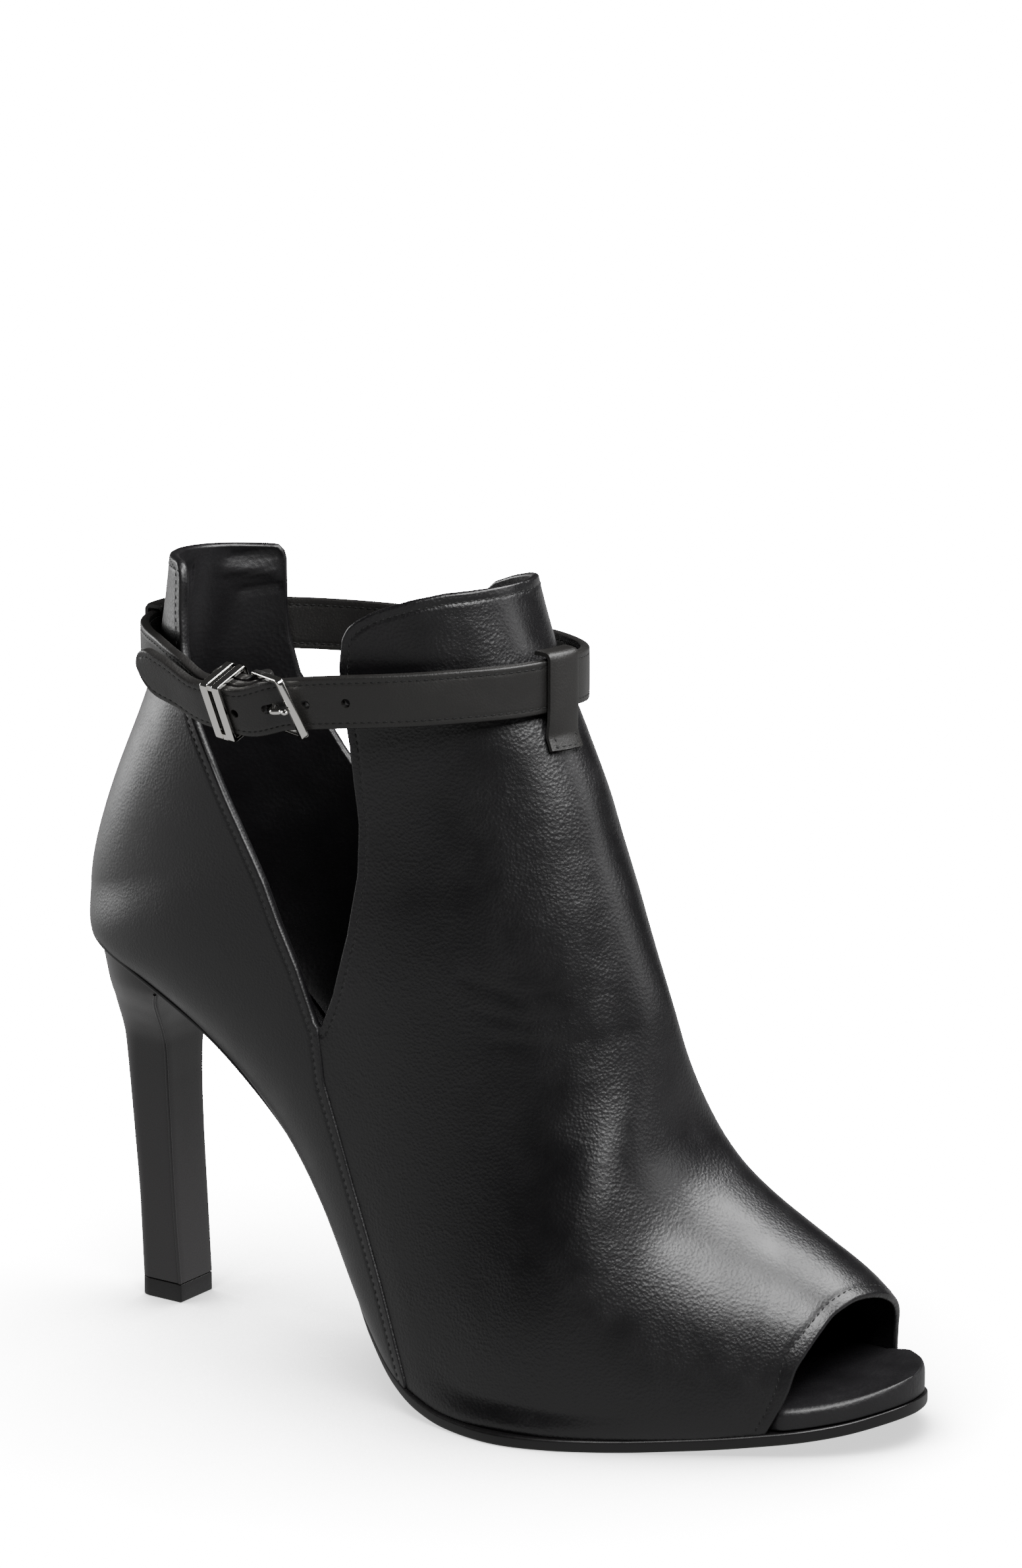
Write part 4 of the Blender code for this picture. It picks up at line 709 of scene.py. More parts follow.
class Bench:
    """Makes meshes in the boot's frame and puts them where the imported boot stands."""

    def __init__(self, shift: tuple[float, float]) -> None:
        """Keeps the move from the boot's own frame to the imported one."""
        self.shift = np.array([shift[0], shift[1], 0.0])

    def mesh(self, name: str, points: Array, faces: Sequence, materials: Sequence,
             normals: Array | None = None,
             slots: Sequence[int] | None = None, sharp: float = 40.0) -> bpy.types.Object:
        """Makes one piece.

        Args:
            name: The piece's name.
            points: Its points in the boot's frame.
            faces: Its faces.
            materials: Its materials.
            normals: Directions for shading, one a point, or None to shade by the sharp angle.
            slots: The material of each face.
            sharp: Angle above which an edge shows as sharp.

        Returns:
            The object, at the origin, with its place in its mesh.
        """
        data = bpy.data.meshes.new(name)
        data.from_pydata((np.asarray(points) + self.shift).tolist(), [], [tuple(f) for f in faces])
        if normals is None:
            shape = bmesh.new()
            shape.from_mesh(data)
            bmesh.ops.remove_doubles(shape, verts=shape.verts, dist=1e-7)
            bmesh.ops.recalc_face_normals(shape, faces=shape.faces)
            shape.to_mesh(data)
            shape.free()
        for material in materials:
            data.materials.append(material)
        if slots is not None:
            data.polygons.foreach_set("material_index", np.asarray(slots, np.int32))
        data.shade_smooth()
        if normals is None:
            data.set_sharp_from_angle(angle=math.radians(sharp))
        else:
            data.normals_split_custom_set_from_vertices(normals.tolist())
        made = bpy.data.objects.new(name, data)
        bpy.context.scene.collection.objects.link(made)
        return made

    def loft(self, name: str, rings: Sequence[Array], materials: Sequence, sharp: float = 40.0,
             wrap: bool = False) -> bpy.types.Object:
        """A skin over rings of equal count, with flat ends unless it wraps round."""
        count, size = len(rings), len(rings[0])
        points = np.concatenate([np.asarray(r, float) for r in rings])
        faces = []
        for i in range(count if wrap else count - 1):
            after = (i + 1) % count
            for j in range(size):
                k = (j + 1) % size
                faces.append((i * size + j, i * size + k, after * size + k, after * size + j))
        if not wrap:
            faces.append(tuple(range(size)))
            faces.append(tuple((count - 1) * size + j for j in range(size)))
        return self.mesh(name, points, faces, materials, sharp=sharp)

    def tube(self, name: str, path: Array, radii: Array, material: bpy.types.Material,
             sides: int = 16) -> bpy.types.Object:
        """A round wire along a path with its own radius at each point."""
        along = unit(np.gradient(path, axis=0))
        up = np.array([0.0, 0.0, 1.0])
        rings = []
        for spot, direction, radius in zip(path, along, radii):
            across = unit(np.cross(up, direction))
            over = np.cross(direction, across)
            turn = np.linspace(0.0, 2 * math.pi, sides, endpoint=False)[:, None]
            rings.append(spot + radius * (np.cos(turn) * across + np.sin(turn) * over))
        return self.loft(name, rings, [material], sharp=60.0)

    def solid(self, name: str, made: bpy.types.Object) -> bpy.types.Object:
        """Replaces an object by the plain mesh that its modifiers give."""
        graph = bpy.context.evaluated_depsgraph_get()
        data = bpy.data.meshes.new_from_object(made.evaluated_get(graph))
        plain = bpy.data.objects.new(name, data)
        bpy.data.objects.remove(made)
        plain.name = name
        bpy.context.scene.collection.objects.link(plain)
        return plain


def linear(colour: str) -> tuple[float, float, float, float]:
    """The linear colour of an sRGB hex value."""
    parts = [int(colour[i:i + 2], 16) / 255 for i in (1, 3, 5)]
    made = [p / 12.92 if p <= 0.04045 else ((p + 0.055) / 1.055) ** 2.4 for p in parts]
    return (made[0], made[1], made[2], 1.0)


def add(tree: bpy.types.NodeTree, kind: str, settings: dict | None = None, links: dict | None = None):
    """Adds a node with its settings and its inputs, each a value or another node's output."""
    made = tree.nodes.new(kind)
    for name, value in (settings or {}).items():
        setattr(made, name, value)
    for key, value in (links or {}).items():
        if isinstance(value, bpy.types.NodeSocket):
            tree.links.new(value, made.inputs[key])
        else:
            made.inputs[key].default_value = value
    return made


@dataclass(frozen=True)
class Leather:
    """A drum-dyed leather, whose grain shows as fine pebbles with soft rolling under them.

    Args:
        name: Name of the material.
        colour: Its colour.
        roughness: How matt its finish is.
        coat: Share of the clear glaze on it.
        pebble: Width of a pebble of the grain.
        depth: Depth of the grain.
        channel: Distance of the sewn channel from the edge, in mm, or 0.
    """

    name: str
    colour: str
    roughness: float
    coat: float
    pebble: float
    depth: float
    channel: float = 0.0

    def make(self) -> bpy.types.Material:
        """Builds the material."""
        made = bpy.data.materials.new(self.name)
        made.use_nodes = True
        tree = made.node_tree
        shader = tree.nodes["Principled BSDF"]
        where = add(tree, "ShaderNodeTexCoord").outputs["Object"]
        patches = add(tree, "ShaderNodeTexNoise", None, {"Vector": where, "Scale": 1 / (9 * MM),
                                                         "Detail": 3.0})
        pebbles = add(tree, "ShaderNodeTexVoronoi", {"feature": "SMOOTH_F1"},
                      {"Vector": where, "Scale": 1 / self.pebble, "Smoothness": 0.35, "Randomness": 1.0})
        pores = add(tree, "ShaderNodeTexNoise", None, {"Vector": where, "Scale": 3.2 / self.pebble,
                                                       "Detail": 3.0})
        strength = add(tree, "ShaderNodeMapRange", None,
                       {"Value": patches.outputs["Fac"], "From Min": 0.35, "From Max": 0.7, "To Min": 0.35,
                        "To Max": 1.0})
        raised = add(tree, "ShaderNodeMath", {"operation": "MULTIPLY"},
                     {0: pebbles.outputs["Distance"], 1: strength.outputs["Result"]})
        height = add(tree, "ShaderNodeMath", {"operation": "MULTIPLY_ADD"},
                     {0: pores.outputs["Fac"], 1: 0.35, 2: raised.outputs[0]})
        bump = add(tree, "ShaderNodeBump", None, {"Strength": 1.0, "Distance": self.depth,
                                                  "Height": height.outputs[0]})
        normal = bump.outputs["Normal"]
        if self.channel:
            edge = add(tree, "ShaderNodeAttribute", {"attribute_name": "edge"})
            off = add(tree, "ShaderNodeMath", {"operation": "SUBTRACT"},
                      {0: edge.outputs["Fac"], 1: self.channel})
            wide = add(tree, "ShaderNodeMath", {"operation": "MULTIPLY"},
                       {0: off.outputs[0], 1: off.outputs[0]})
            fall = add(tree, "ShaderNodeMath", {"operation": "MULTIPLY"}, {0: wide.outputs[0], 1: -3.0})
            trough = add(tree, "ShaderNodeMath", {"operation": "EXPONENT"}, {0: fall.outputs[0]})
            sunk = add(tree, "ShaderNodeBump", {"invert": True},
                       {"Strength": 1.0, "Distance": 0.16 * MM, "Height": trough.outputs[0],
                        "Normal": normal})
            normal = sunk.outputs["Normal"]
        tree.links.new(normal, shader.inputs["Normal"])
        shade = add(tree, "ShaderNodeMapRange", None,
                    {"Value": patches.outputs["Fac"], "From Min": 0.3, "From Max": 0.75,
                     "To Min": self.roughness - 0.05, "To Max": self.roughness + 0.07})
        tree.links.new(shade.outputs["Result"], shader.inputs["Roughness"])
        middle = linear(self.colour)[:3]
        tone = add(tree, "ShaderNodeMix", {"data_type": "RGBA"}, {"Factor": patches.outputs["Fac"]})
        tone.inputs[6].default_value = tuple(0.8 * c for c in middle) + (1.0,)
        tone.inputs[7].default_value = tuple(1.25 * c for c in middle) + (1.0,)
        tree.links.new(tone.outputs[2], shader.inputs["Base Color"])
        shader.inputs["IOR"].default_value = 1.5
        shader.inputs["Coat Weight"].default_value = self.coat
        shader.inputs["Coat Roughness"].default_value = 0.28
        return made


@dataclass(frozen=True)
class Plain:
    """A finish with one colour and a faint unevenness, for edges, rubber, thread and plated metal.

    Args:
        name: Name of the material.
        colour: Its colour.
        roughness: How matt it is.
        metallic: 1 for metal.
        grain: Width of its unevenness.
        depth: Depth of its unevenness.
    """

    name: str
    colour: str
    roughness: float
    metallic: float
    grain: float
    depth: float

    def make(self) -> bpy.types.Material:
        """Builds the material."""
        made = bpy.data.materials.new(self.name)
        made.use_nodes = True
        tree = made.node_tree
        shader = tree.nodes["Principled BSDF"]
        where = add(tree, "ShaderNodeTexCoord").outputs["Object"]
        noise = add(tree, "ShaderNodeTexNoise", None, {"Vector": where, "Scale": 1 / self.grain,
                                                       "Detail": 4.0})
        bump = add(tree, "ShaderNodeBump", None,
                   {"Strength": 1.0, "Distance": self.depth, "Height": noise.outputs["Fac"]})
        tree.links.new(bump.outputs["Normal"], shader.inputs["Normal"])
        shade = add(tree, "ShaderNodeMapRange", None,
                    {"Value": noise.outputs["Fac"], "To Min": self.roughness * 0.8,
                     "To Max": self.roughness * 1.25})
        tree.links.new(shade.outputs["Result"], shader.inputs["Roughness"])
        shader.inputs["Base Color"].default_value = linear(self.colour)
        shader.inputs["Metallic"].default_value = self.metallic
        return made


class Finishes:
    """Every finish of the boot."""

    def __init__(self) -> None:
        """Makes the materials once."""
        # Glazed calf: deep black with a soft shine that breaks up over the pebbled grain
        self.vamp = Leather("glazed calf, pebbled", "#0d0c0e", 0.35, 0.22, 0.75 * MM, 0.11 * MM, 2.4).make()
        # The same hide where it is lasted tight, so its grain is finer and its shine longer
        self.quarter = Leather("glazed calf, lasted tight", "#0f0e10", 0.40, 0.20, 0.7 * MM, 0.07 * MM,
                               2.4).make()
        # Lining hide, softer and more matt, with open grain
        self.lining = Leather("lining leather", "#151416", 0.46, 0.12, 1.1 * MM, 0.10 * MM).make()
        # Strap leather, split and glued, with a flat even grain
        self.strap = Leather("strap leather", "#1c1b1a", 0.46, 0.14, 0.55 * MM, 0.07 * MM).make()
        # Heel wrap, thin hide stretched over the block
        self.wrap = Leather("skived wrap leather", "#2b292a", 0.36, 0.25, 0.45 * MM, 0.02 * MM).make()
        # Waxed edge of the leather sole
        self.edge = Plain("waxed sole edge", "#131213", 0.34, 0.0, 1.5 * MM, 0.02 * MM).make()
        # Moulded rubber lift, satin
        self.rubber = Plain("moulded rubber", "#171617", 0.42, 0.0, 0.8 * MM, 0.02 * MM).make()
        # Bonded nylon thread, a little shiny
        self.thread = Plain("bonded nylon thread", "#060607", 0.7, 0.0, 0.3 * MM, 0.03 * MM).make()
        # Polished nickel plate on zinc
        self.nickel = Plain("polished nickel plate", "#f1efea", 0.08, 1.0, 6.0 * MM, 0.004 * MM).make()


def stitch_tree() -> bpy.types.NodeTree:
    """Geometry Nodes that lay one stitch after another along a path.

    Returns:
        A tree with named inputs for the path, the sizes and the thread.
    """
    tree = bpy.data.node_groups.new("stitch row", "GeometryNodeTree")
    tree.interface.new_socket(name="Path", in_out="INPUT", socket_type="NodeSocketGeometry")
    for name in ("Pitch", "Length", "Width", "Lean"):
        tree.interface.new_socket(name=name, in_out="INPUT", socket_type="NodeSocketFloat")
    tree.interface.new_socket(name="Thread", in_out="INPUT", socket_type="NodeSocketMaterial")
    tree.interface.new_socket(name="Stitches", in_out="OUTPUT", socket_type="NodeSocketGeometry")
    start, end = tree.nodes.new("NodeGroupInput"), tree.nodes.new("NodeGroupOutput")
    sizes = start.outputs
    curve = add(tree, "GeometryNodeMeshToCurve", None, {"Mesh": sizes["Path"]})
    even = add(tree, "GeometryNodeResampleCurve", {"mode": "LENGTH"},
               {"Curve": curve.outputs[0], "Length": sizes["Pitch"]})
    tangent = add(tree, "GeometryNodeInputTangent")
    lay = add(tree, "GeometryNodeInputNamedAttribute", {"data_type": "FLOAT_VECTOR"}, {"Name": "lay"})
    along = add(tree, "FunctionNodeAlignRotationToVector", {"axis": "X"}, {"Vector": tangent.outputs[0]})
    up = add(tree, "FunctionNodeAlignRotationToVector", {"axis": "Z", "pivot_axis": "X"},
             {"Rotation": along.outputs[0], "Vector": lay.outputs["Attribute"]})
    spread = add(tree, "FunctionNodeRandomValue", {"data_type": "FLOAT"}, {2: -0.05, 3: 0.05, "Seed": 11})
    lean = add(tree, "ShaderNodeMath", {"operation": "ADD"}, {0: spread.outputs[1], 1: sizes["Lean"]})
    turn = add(tree, "ShaderNodeCombineXYZ", None, {"Z": lean.outputs[0]})
    euler = add(tree, "FunctionNodeEulerToRotation", None, {0: turn.outputs[0]})
    leaned = add(tree, "FunctionNodeRotateRotation", {"rotation_space": "LOCAL"},
                 {"Rotation": up.outputs[0], "Rotate By": euler.outputs[0]})
    bead = add(tree, "GeometryNodeMeshUVSphere", None, {"Segments": 8, "Rings": 5, "Radius": 0.5})
    size = add(tree, "ShaderNodeCombineXYZ", None, {"X": sizes["Length"], "Y": sizes["Width"],
                                                    "Z": sizes["Width"]})
    placed = add(tree, "GeometryNodeInstanceOnPoints", None,
                 {"Points": even.outputs[0], "Instance": bead.outputs[0], "Rotation": leaned.outputs[0],
                  "Scale": size.outputs[0]})
    real = add(tree, "GeometryNodeRealizeInstances", None, {0: placed.outputs[0]})
    soft = add(tree, "GeometryNodeSetShadeSmooth", None, {0: real.outputs[0]})
    dressed = add(tree, "GeometryNodeSetMaterial", None, {0: soft.outputs[0], "Material": sizes["Thread"]})
    tree.links.new(dressed.outputs[0], end.inputs[0])
    return tree


@dataclass
class Stitcher:
    """Sews rows of stitches.

    Args:
        bench: Where meshes are made.
        thread: The thread's material.
        pitch: Distance from stitch to stitch.
        length: Length of one stitch.
        width: Thickness of the thread.
    """

    bench: Bench
    thread: bpy.types.Material
    pitch: float = 1.8 * MM
    length: float = 1.35 * MM
    width: float = 0.46 * MM

    def sew(self, name: str, rows: Sequence[tuple[Array, Array]],
            pitch: float | None = None) -> bpy.types.Object:
        """Sews rows as one piece.

        Args:
            name: Name of the piece.
            rows: For each row the points of its path and the direction out of the leather at each.
            pitch: Another distance from stitch to stitch.

        Returns:
            The stitches as a plain mesh.
        """
        data = bpy.data.meshes.new(name + "_path")
        points, edges, lay = [], [], []
        for path, out in rows:
            first = len(points)
            points += (np.asarray(path) + self.bench.shift).tolist()
            lay += np.asarray(out).tolist()
            edges += [(first + i, first + i + 1) for i in range(len(path) - 1)]
        data.from_pydata(points, edges, [])
        data.attributes.new("lay", "FLOAT_VECTOR", "POINT").data.foreach_set("vector", np.ravel(lay))
        made = bpy.data.objects.new(name + "_path", data)
        bpy.context.scene.collection.objects.link(made)
        tree = bpy.data.node_groups.get("stitch row") or stitch_tree()
        rows_of = made.modifiers.new("stitches", "NODES")
        rows_of.node_group = tree
        step = pitch or self.pitch
        wanted = {"Pitch": step, "Length": self.length * step / self.pitch, "Width": self.width, "Lean": 0.10,
                  "Thread": self.thread}
        for item in tree.interface.items_tree:
            if item.name in wanted:
                rows_of[item.identifier] = wanted[item.name]
        bpy.context.view_layer.update()
        return self.bench.solid(name, made)


def thinned(path: Array, out: Array, keep: Array) -> list[tuple[Array, Array]]:
    """Splits a path into the stretches where keep is true."""
    runs, start = [], None
    for i, good in enumerate(list(keep) + [False]):
        if good and start is None:
            start = i
        elif not good and start is not None:
            if i - start > 6:
                runs.append((path[start:i], out[start:i]))
            start = None
    return runs


@dataclass
class Panel:
    """One panel of the upper, cut from the last's skin, with its lining and its turned edge.

    Args:
        name: The panel's name.
        edges: Its edges, and how far the turned edge rounds over at each.
        signs: Minus one for an edge whose other side is kept.
        proud: How far its face stands out of the last's skin.
        wall: How far its lining lies inside the last's skin.
        sewn: The edges that carry a row of stitches, with the row's distance.
    """

    name: str
    edges: dict
    signs: dict
    proud: float
    wall: float
    sewn: dict

    def build(self, bench: Bench, skin: Skin, creases: Sequence[Crease], folds: Sequence[Crease],
              materials: Sequence) -> bpy.types.Object:
        """Builds the panel's mesh.

        Args:
            bench: Where meshes are made.
            skin: The grid over the last.
            creases: Troughs and ridges of its face.
            folds: Troughs and ridges of its lining.
            materials: The face's leather and the lining's.

        Returns:
            The panel.
        """
        cut = skin.trim(self.edges, self.signs)
        base = skin.last.surface
        reaches = self.edges

        def face_at(place: Array, turn: Array) -> Array:
            points = base(place, turn)
            lift = self.proud + sum((c.relief(points) for c in creases), np.zeros(len(points)))
            return points + normals_of(base, place, turn) * lift[:, None]

        def lining_at(place: Array, turn: Array) -> Array:
            points = base(place, turn)
            lift = -self.wall + sum((c.relief(points) for c in folds), np.zeros(len(points)))
            return points + normals_of(base, place, turn) * lift[:, None]

        face, lining = face_at(cut.place, cut.turn), lining_at(cut.place, cut.turn)
        face_normal = normals_of(face_at, cut.place, cut.turn)
        lining_normal = -normals_of(lining_at, cut.place, cut.turn)
        size = len(face)
        flat = base(cut.place, cut.turn)
        edge = np.min([self.signs.get(e, 1.0) * skin.cuts.distance(e, flat) for e in self.sewn], axis=0) / MM
        points, normals = [face, lining], [face_normal, lining_normal]
        distances = [edge, np.zeros(size)]
        faces = list(cut.faces) + [tuple(v + size for v in reversed(f)) for f in cut.faces]
        slots = [0] * len(cut.faces) + [1] * len(cut.faces)
        count, steps = 2 * size, 7
        for loop, kinds in zip(cut.loops, cut.kinds):
            before, after = face[np.roll(loop, 1)], face[np.roll(loop, -1)]
            out = face_normal[loop]
            away = unit(np.cross(unit(after - before), out))
            away = unit(away + np.roll(away, 1, axis=0) + np.roll(away, -1, axis=0))
            reach = np.array([reaches[k] for k in kinds])
            reach = (reach + np.roll(reach, 1) + np.roll(reach, -1)) / 3
            middle, half = (face[loop] + lining[loop]) / 2, (face[loop] - lining[loop]) / 2
            thick = np.linalg.norm(half, axis=1)
            rows = [loop]
            for turn in np.linspace(0.0, math.pi, steps + 1)[1:-1]:
                points.append(middle + half * math.cos(turn) + away * (reach * math.sin(turn))[:, None])
                outwards = away * (math.sin(turn) / reach)[:, None]
                normals.append(unit(out * (math.cos(turn) / thick)[:, None] + outwards))
                distances.append(np.zeros(len(loop)))
                rows.append(np.arange(count, count + len(loop)))
                count += len(loop)
            rows.append(loop + size)
            for upper, lower in zip(rows[:-1], rows[1:]):
                ring = np.stack([np.roll(upper, -1), upper, lower, np.roll(lower, -1)], 1)
                faces += ring.tolist()
                slots += [0] * len(ring)
        made = bench.mesh(self.name, np.concatenate(points), faces, materials, np.concatenate(normals), slots)
        made.data.attributes.new("edge", "FLOAT", "POINT").data.foreach_set("value",
                                                                            np.concatenate(distances))
        return made

    def stitch_rows(self, skin: Skin) -> list[tuple[Array, Array]]:
        """Paths of the rows of stitches that follow its sewn edges."""
        rows = []
        for edge, distance in self.sewn.items():
            edges = dict(self.edges)
            edges[edge] = distance
            cut = skin.trim(edges, self.signs)
            for loop, kinds in zip(cut.loops, cut.kinds):
                place, turn = cut.place[loop], cut.turn[loop]
                out = normals_of(skin.last.surface, place, turn)
                path = skin.last.surface(place, turn) + out * (self.proud - 0.10 * MM)
                keep = np.array([k is edge for k in kinds])
                start = int(np.argmin(keep)) if not keep.all() else 0
                rows += thinned(np.roll(path, -start, axis=0), np.roll(out, -start, axis=0),
                                np.roll(keep, -start))
        return rows


class Upper:
    """Vamp and quarter, with their lining, turned edges and stitches."""

    def __init__(self, bench: Bench, last: Last, finishes: Finishes) -> None:
        """Lays out the skin and the panels."""
        self.bench, self.finishes = bench, finishes
        self.skin = Skin(last, Cuts(), 300, 220)
        turned = 0.8 * MM
        self.vamp = Panel("vamp", {Edge.SOLE: 0.3 * MM, Edge.SIDE: turned, Edge.TOE: turned,
                                   Edge.SEAM: -1.2 * MM},
                          {Edge.SEAM: -1.0}, 0.0, UPPER_WALL - 0.08 * MM,
                          {Edge.SIDE: 2.4 * MM, Edge.TOE: 2.4 * MM})
        self.quarter = Panel("quarter", {Edge.SOLE: 0.3 * MM, Edge.SIDE: turned, Edge.TOP: turned,
                                         Edge.SEAM: 0.5 * MM},
                             {}, 0.5 * MM, UPPER_WALL,
                             {Edge.SIDE: 2.4 * MM, Edge.TOP: 2.4 * MM, Edge.SEAM: 2.4 * MM})

    def build(self) -> list[bpy.types.Object]:
        """Builds the panels and their stitches."""
        creases = (
            Crease(((0.560, 1.00), (0.620, 0.97), (0.668, 0.99)), -1, 1.6 * MM, 0.10 * MM),
            Crease(((0.575, 0.93), (0.630, 0.915), (0.675, 0.93)), -1, 1.3 * MM, 0.08 * MM),
            Crease(((0.600, 0.87), (0.650, 0.865), (0.690, 0.885)), -1, 1.8 * MM, 0.10 * MM),
        )
        folds = (
            Crease(((0.135, 1.90), (0.170, 1.90)), 1, 1.6 * MM, -0.7 * MM),
            Crease(((0.130, 1.86), (0.165, 1.85)), 1, 1.3 * MM, 0.5 * MM),
            Crease(((0.140, 1.80), (0.170, 1.81)), 1, 1.4 * MM, -0.5 * MM),
            Crease(((0.120, 1.88), (0.130, 1.66)), -1, 1.6 * MM, -0.7 * MM),
            Crease(((0.145, 1.80), (0.150, 1.56)), -1, 1.8 * MM, 0.6 * MM),
        )
        made = [
            self.vamp.build(self.bench, self.skin, creases, (), (self.finishes.vamp, self.finishes.lining)),
            self.quarter.build(self.bench, self.skin, (), folds,
                               (self.finishes.quarter, self.finishes.lining)),
        ]
        sewer = Stitcher(self.bench, self.finishes.thread)
        made.append(sewer.sew("vamp_stitches", self.vamp.stitch_rows(self.skin)))
        made.append(sewer.sew("quarter_stitches", self.quarter.stitch_rows(self.skin)))
        return made


@dataclass
class Sole:
    """The thin outsole and the covered insole.

    Args:
        bench: Where meshes are made.
        finishes: Every finish.
        inset: How far the insole lies inside the sole's outline.
        waist_inset: How much further at the waist.
        toe_inset: How far where the toe opening shows it.
        seat_thick: The insole's thickness at the seat.
        toe_thick: Its thickness at the toe.
        tip_thinner: How much thinner it is at the tip.
        footbed_rise: How far its top rises towards the inner side of the toes.
    """

    bench: Bench
    finishes: Finishes
    inset: float = 3.7 * MM
    waist_inset: float = 0.6 * MM
    toe_inset: float = 0.7 * MM
    seat_thick: float = 3.0 * MM
    toe_thick: float = 5.6 * MM
    tip_thinner: float = 1.2 * MM
    footbed_rise: float = 4.0 * MM

    def insole_inset(self, x: Array, y: Array) -> Array:
        """How far the insole lies inside the sole's outline."""
        opening = np.interp(y, column(OPENING, 1) * BALL_WIDTH, column(OPENING, 0) * LENGTH)
        opening = opening - OPENING_FOOT * LENGTH * np.clip(-10.0 * y / BALL_WIDTH, 0.0, 1.0)
        out = np.clip((x - opening - 0.5 * MM) / (3.5 * MM), 0.0, 1.0)
        waist = np.clip(1.0 - np.abs(x / LENGTH - 0.35) / 0.20, 0.0, 1.0)
        return self.inset + self.waist_inset * waist + (self.toe_inset - self.inset) * out

    def insole_top(self, x: Array) -> Array:
        """Height of the insole's top at x."""
        share = np.asarray(x, float) / LENGTH
        toe = np.clip((share - 0.3) / 0.5, 0.0, 1.0)
        tip = self.tip_thinner * np.clip((share - 0.88) / 0.12, 0.0, 1.0)
        return feather(x) + GAP + self.seat_thick + (self.toe_thick - self.seat_thick) * toe - tip

    def footbed(self, x: float, y: float) -> float:
        """How far the footbed rises towards the inner side of the toes at a place."""
        across = np.clip(y / BALL_WIDTH + 0.10, 0.0, 0.55) / 0.55
        return float(self.footbed_rise * across ** 1.5 * ease((x / LENGTH - 0.80) / 0.10))

    def layer(self, name: str, inset: Callable, low: Callable, high: Callable, edges: tuple[float, float],
              material: bpy.types.Material, count: int,
              rise: Callable[[float, float], float] = lambda x, y: 0.0) -> bpy.types.Object:
        """A layer with the sole's outline and rounded edges.

        Args:
            name: Name of the piece.
            inset: How far inside the outline it runs.
            low: Height of its underside.
            high: Height of its top.
            edges: Sizes that round its lower and its upper edge.
            material: Its finish.
            count: Number of stations along it.
            rise: How far its top rises at a place.

        Returns:
            The layer.
        """
        quarter = np.radians(np.linspace(0.0, 90.0, 6))
        rings = []
        for x, y0, y1 in zip(*sole_sides(inset, count, fine=True)):
            bottom, top = float(low(x)), float(high(x))
            most = min(0.45 * (y1 - y0), 0.45 * (top - bottom))
            a, b = min(most, edges[0]), min(most, edges[1])
            half = [(y0 + a - a * math.sin(t), bottom + a - a * math.cos(t)) for t in quarter]
            half += [(y0 + b - b * math.cos(t), top - b + b * math.sin(t)) for t in quarter]
            across = np.linspace(y0 + b, y1 - b, 14)[1:-1]
            under = np.linspace(y1 - a, y0 + a, 8)[1:-1]
            other = [(y1 - b + b * math.cos(t), top - b + b * math.sin(t)) for t in quarter[::-1]]
            other += [(y1 - a + a * math.sin(t), bottom + a - a * math.cos(t)) for t in quarter[::-1]]
            ring = half + [(y, top) for y in across] + other + [(y, bottom) for y in under]
            rings.append([(x, y, z + rise(x, y) * (z - bottom) / (top - bottom)) for y, z in ring])
        return self.bench.loft(name, rings, [material], sharp=50.0)

    def build(self) -> list[bpy.types.Object]:
        """Builds outsole, insole and the sock's stitches."""
        outsole = self.layer("outsole_edge", lambda x, y: 0.0 * x, sole_bottom, feather, (0.7 * MM, 0.7 * MM),
                             self.finishes.edge, 200)
        insole = self.layer("insole_cover", self.insole_inset, lambda x: feather(x) + GAP, self.insole_top,
                            (0.5 * MM, 2.0 * MM), self.finishes.lining, 200, self.footbed)
        x, outer, inner = sole_sides(lambda x, y: self.insole_inset(x, y) + 3.4 * MM, 160)
        x, outer, inner = (a[x < 0.8 * LENGTH] for a in (x, outer, inner))
        sewer = Stitcher(self.bench, self.finishes.thread)
        rows = []
        for y in (outer, inner):
            path = np.stack([x, y, self.insole_top(x) + 0.08 * MM], 1)
            rows.append((path, np.tile([0.0, 0.0, 1.0], (len(path), 1))))
        return [outsole, insole, sewer.sew("sock_stitches", rows)]


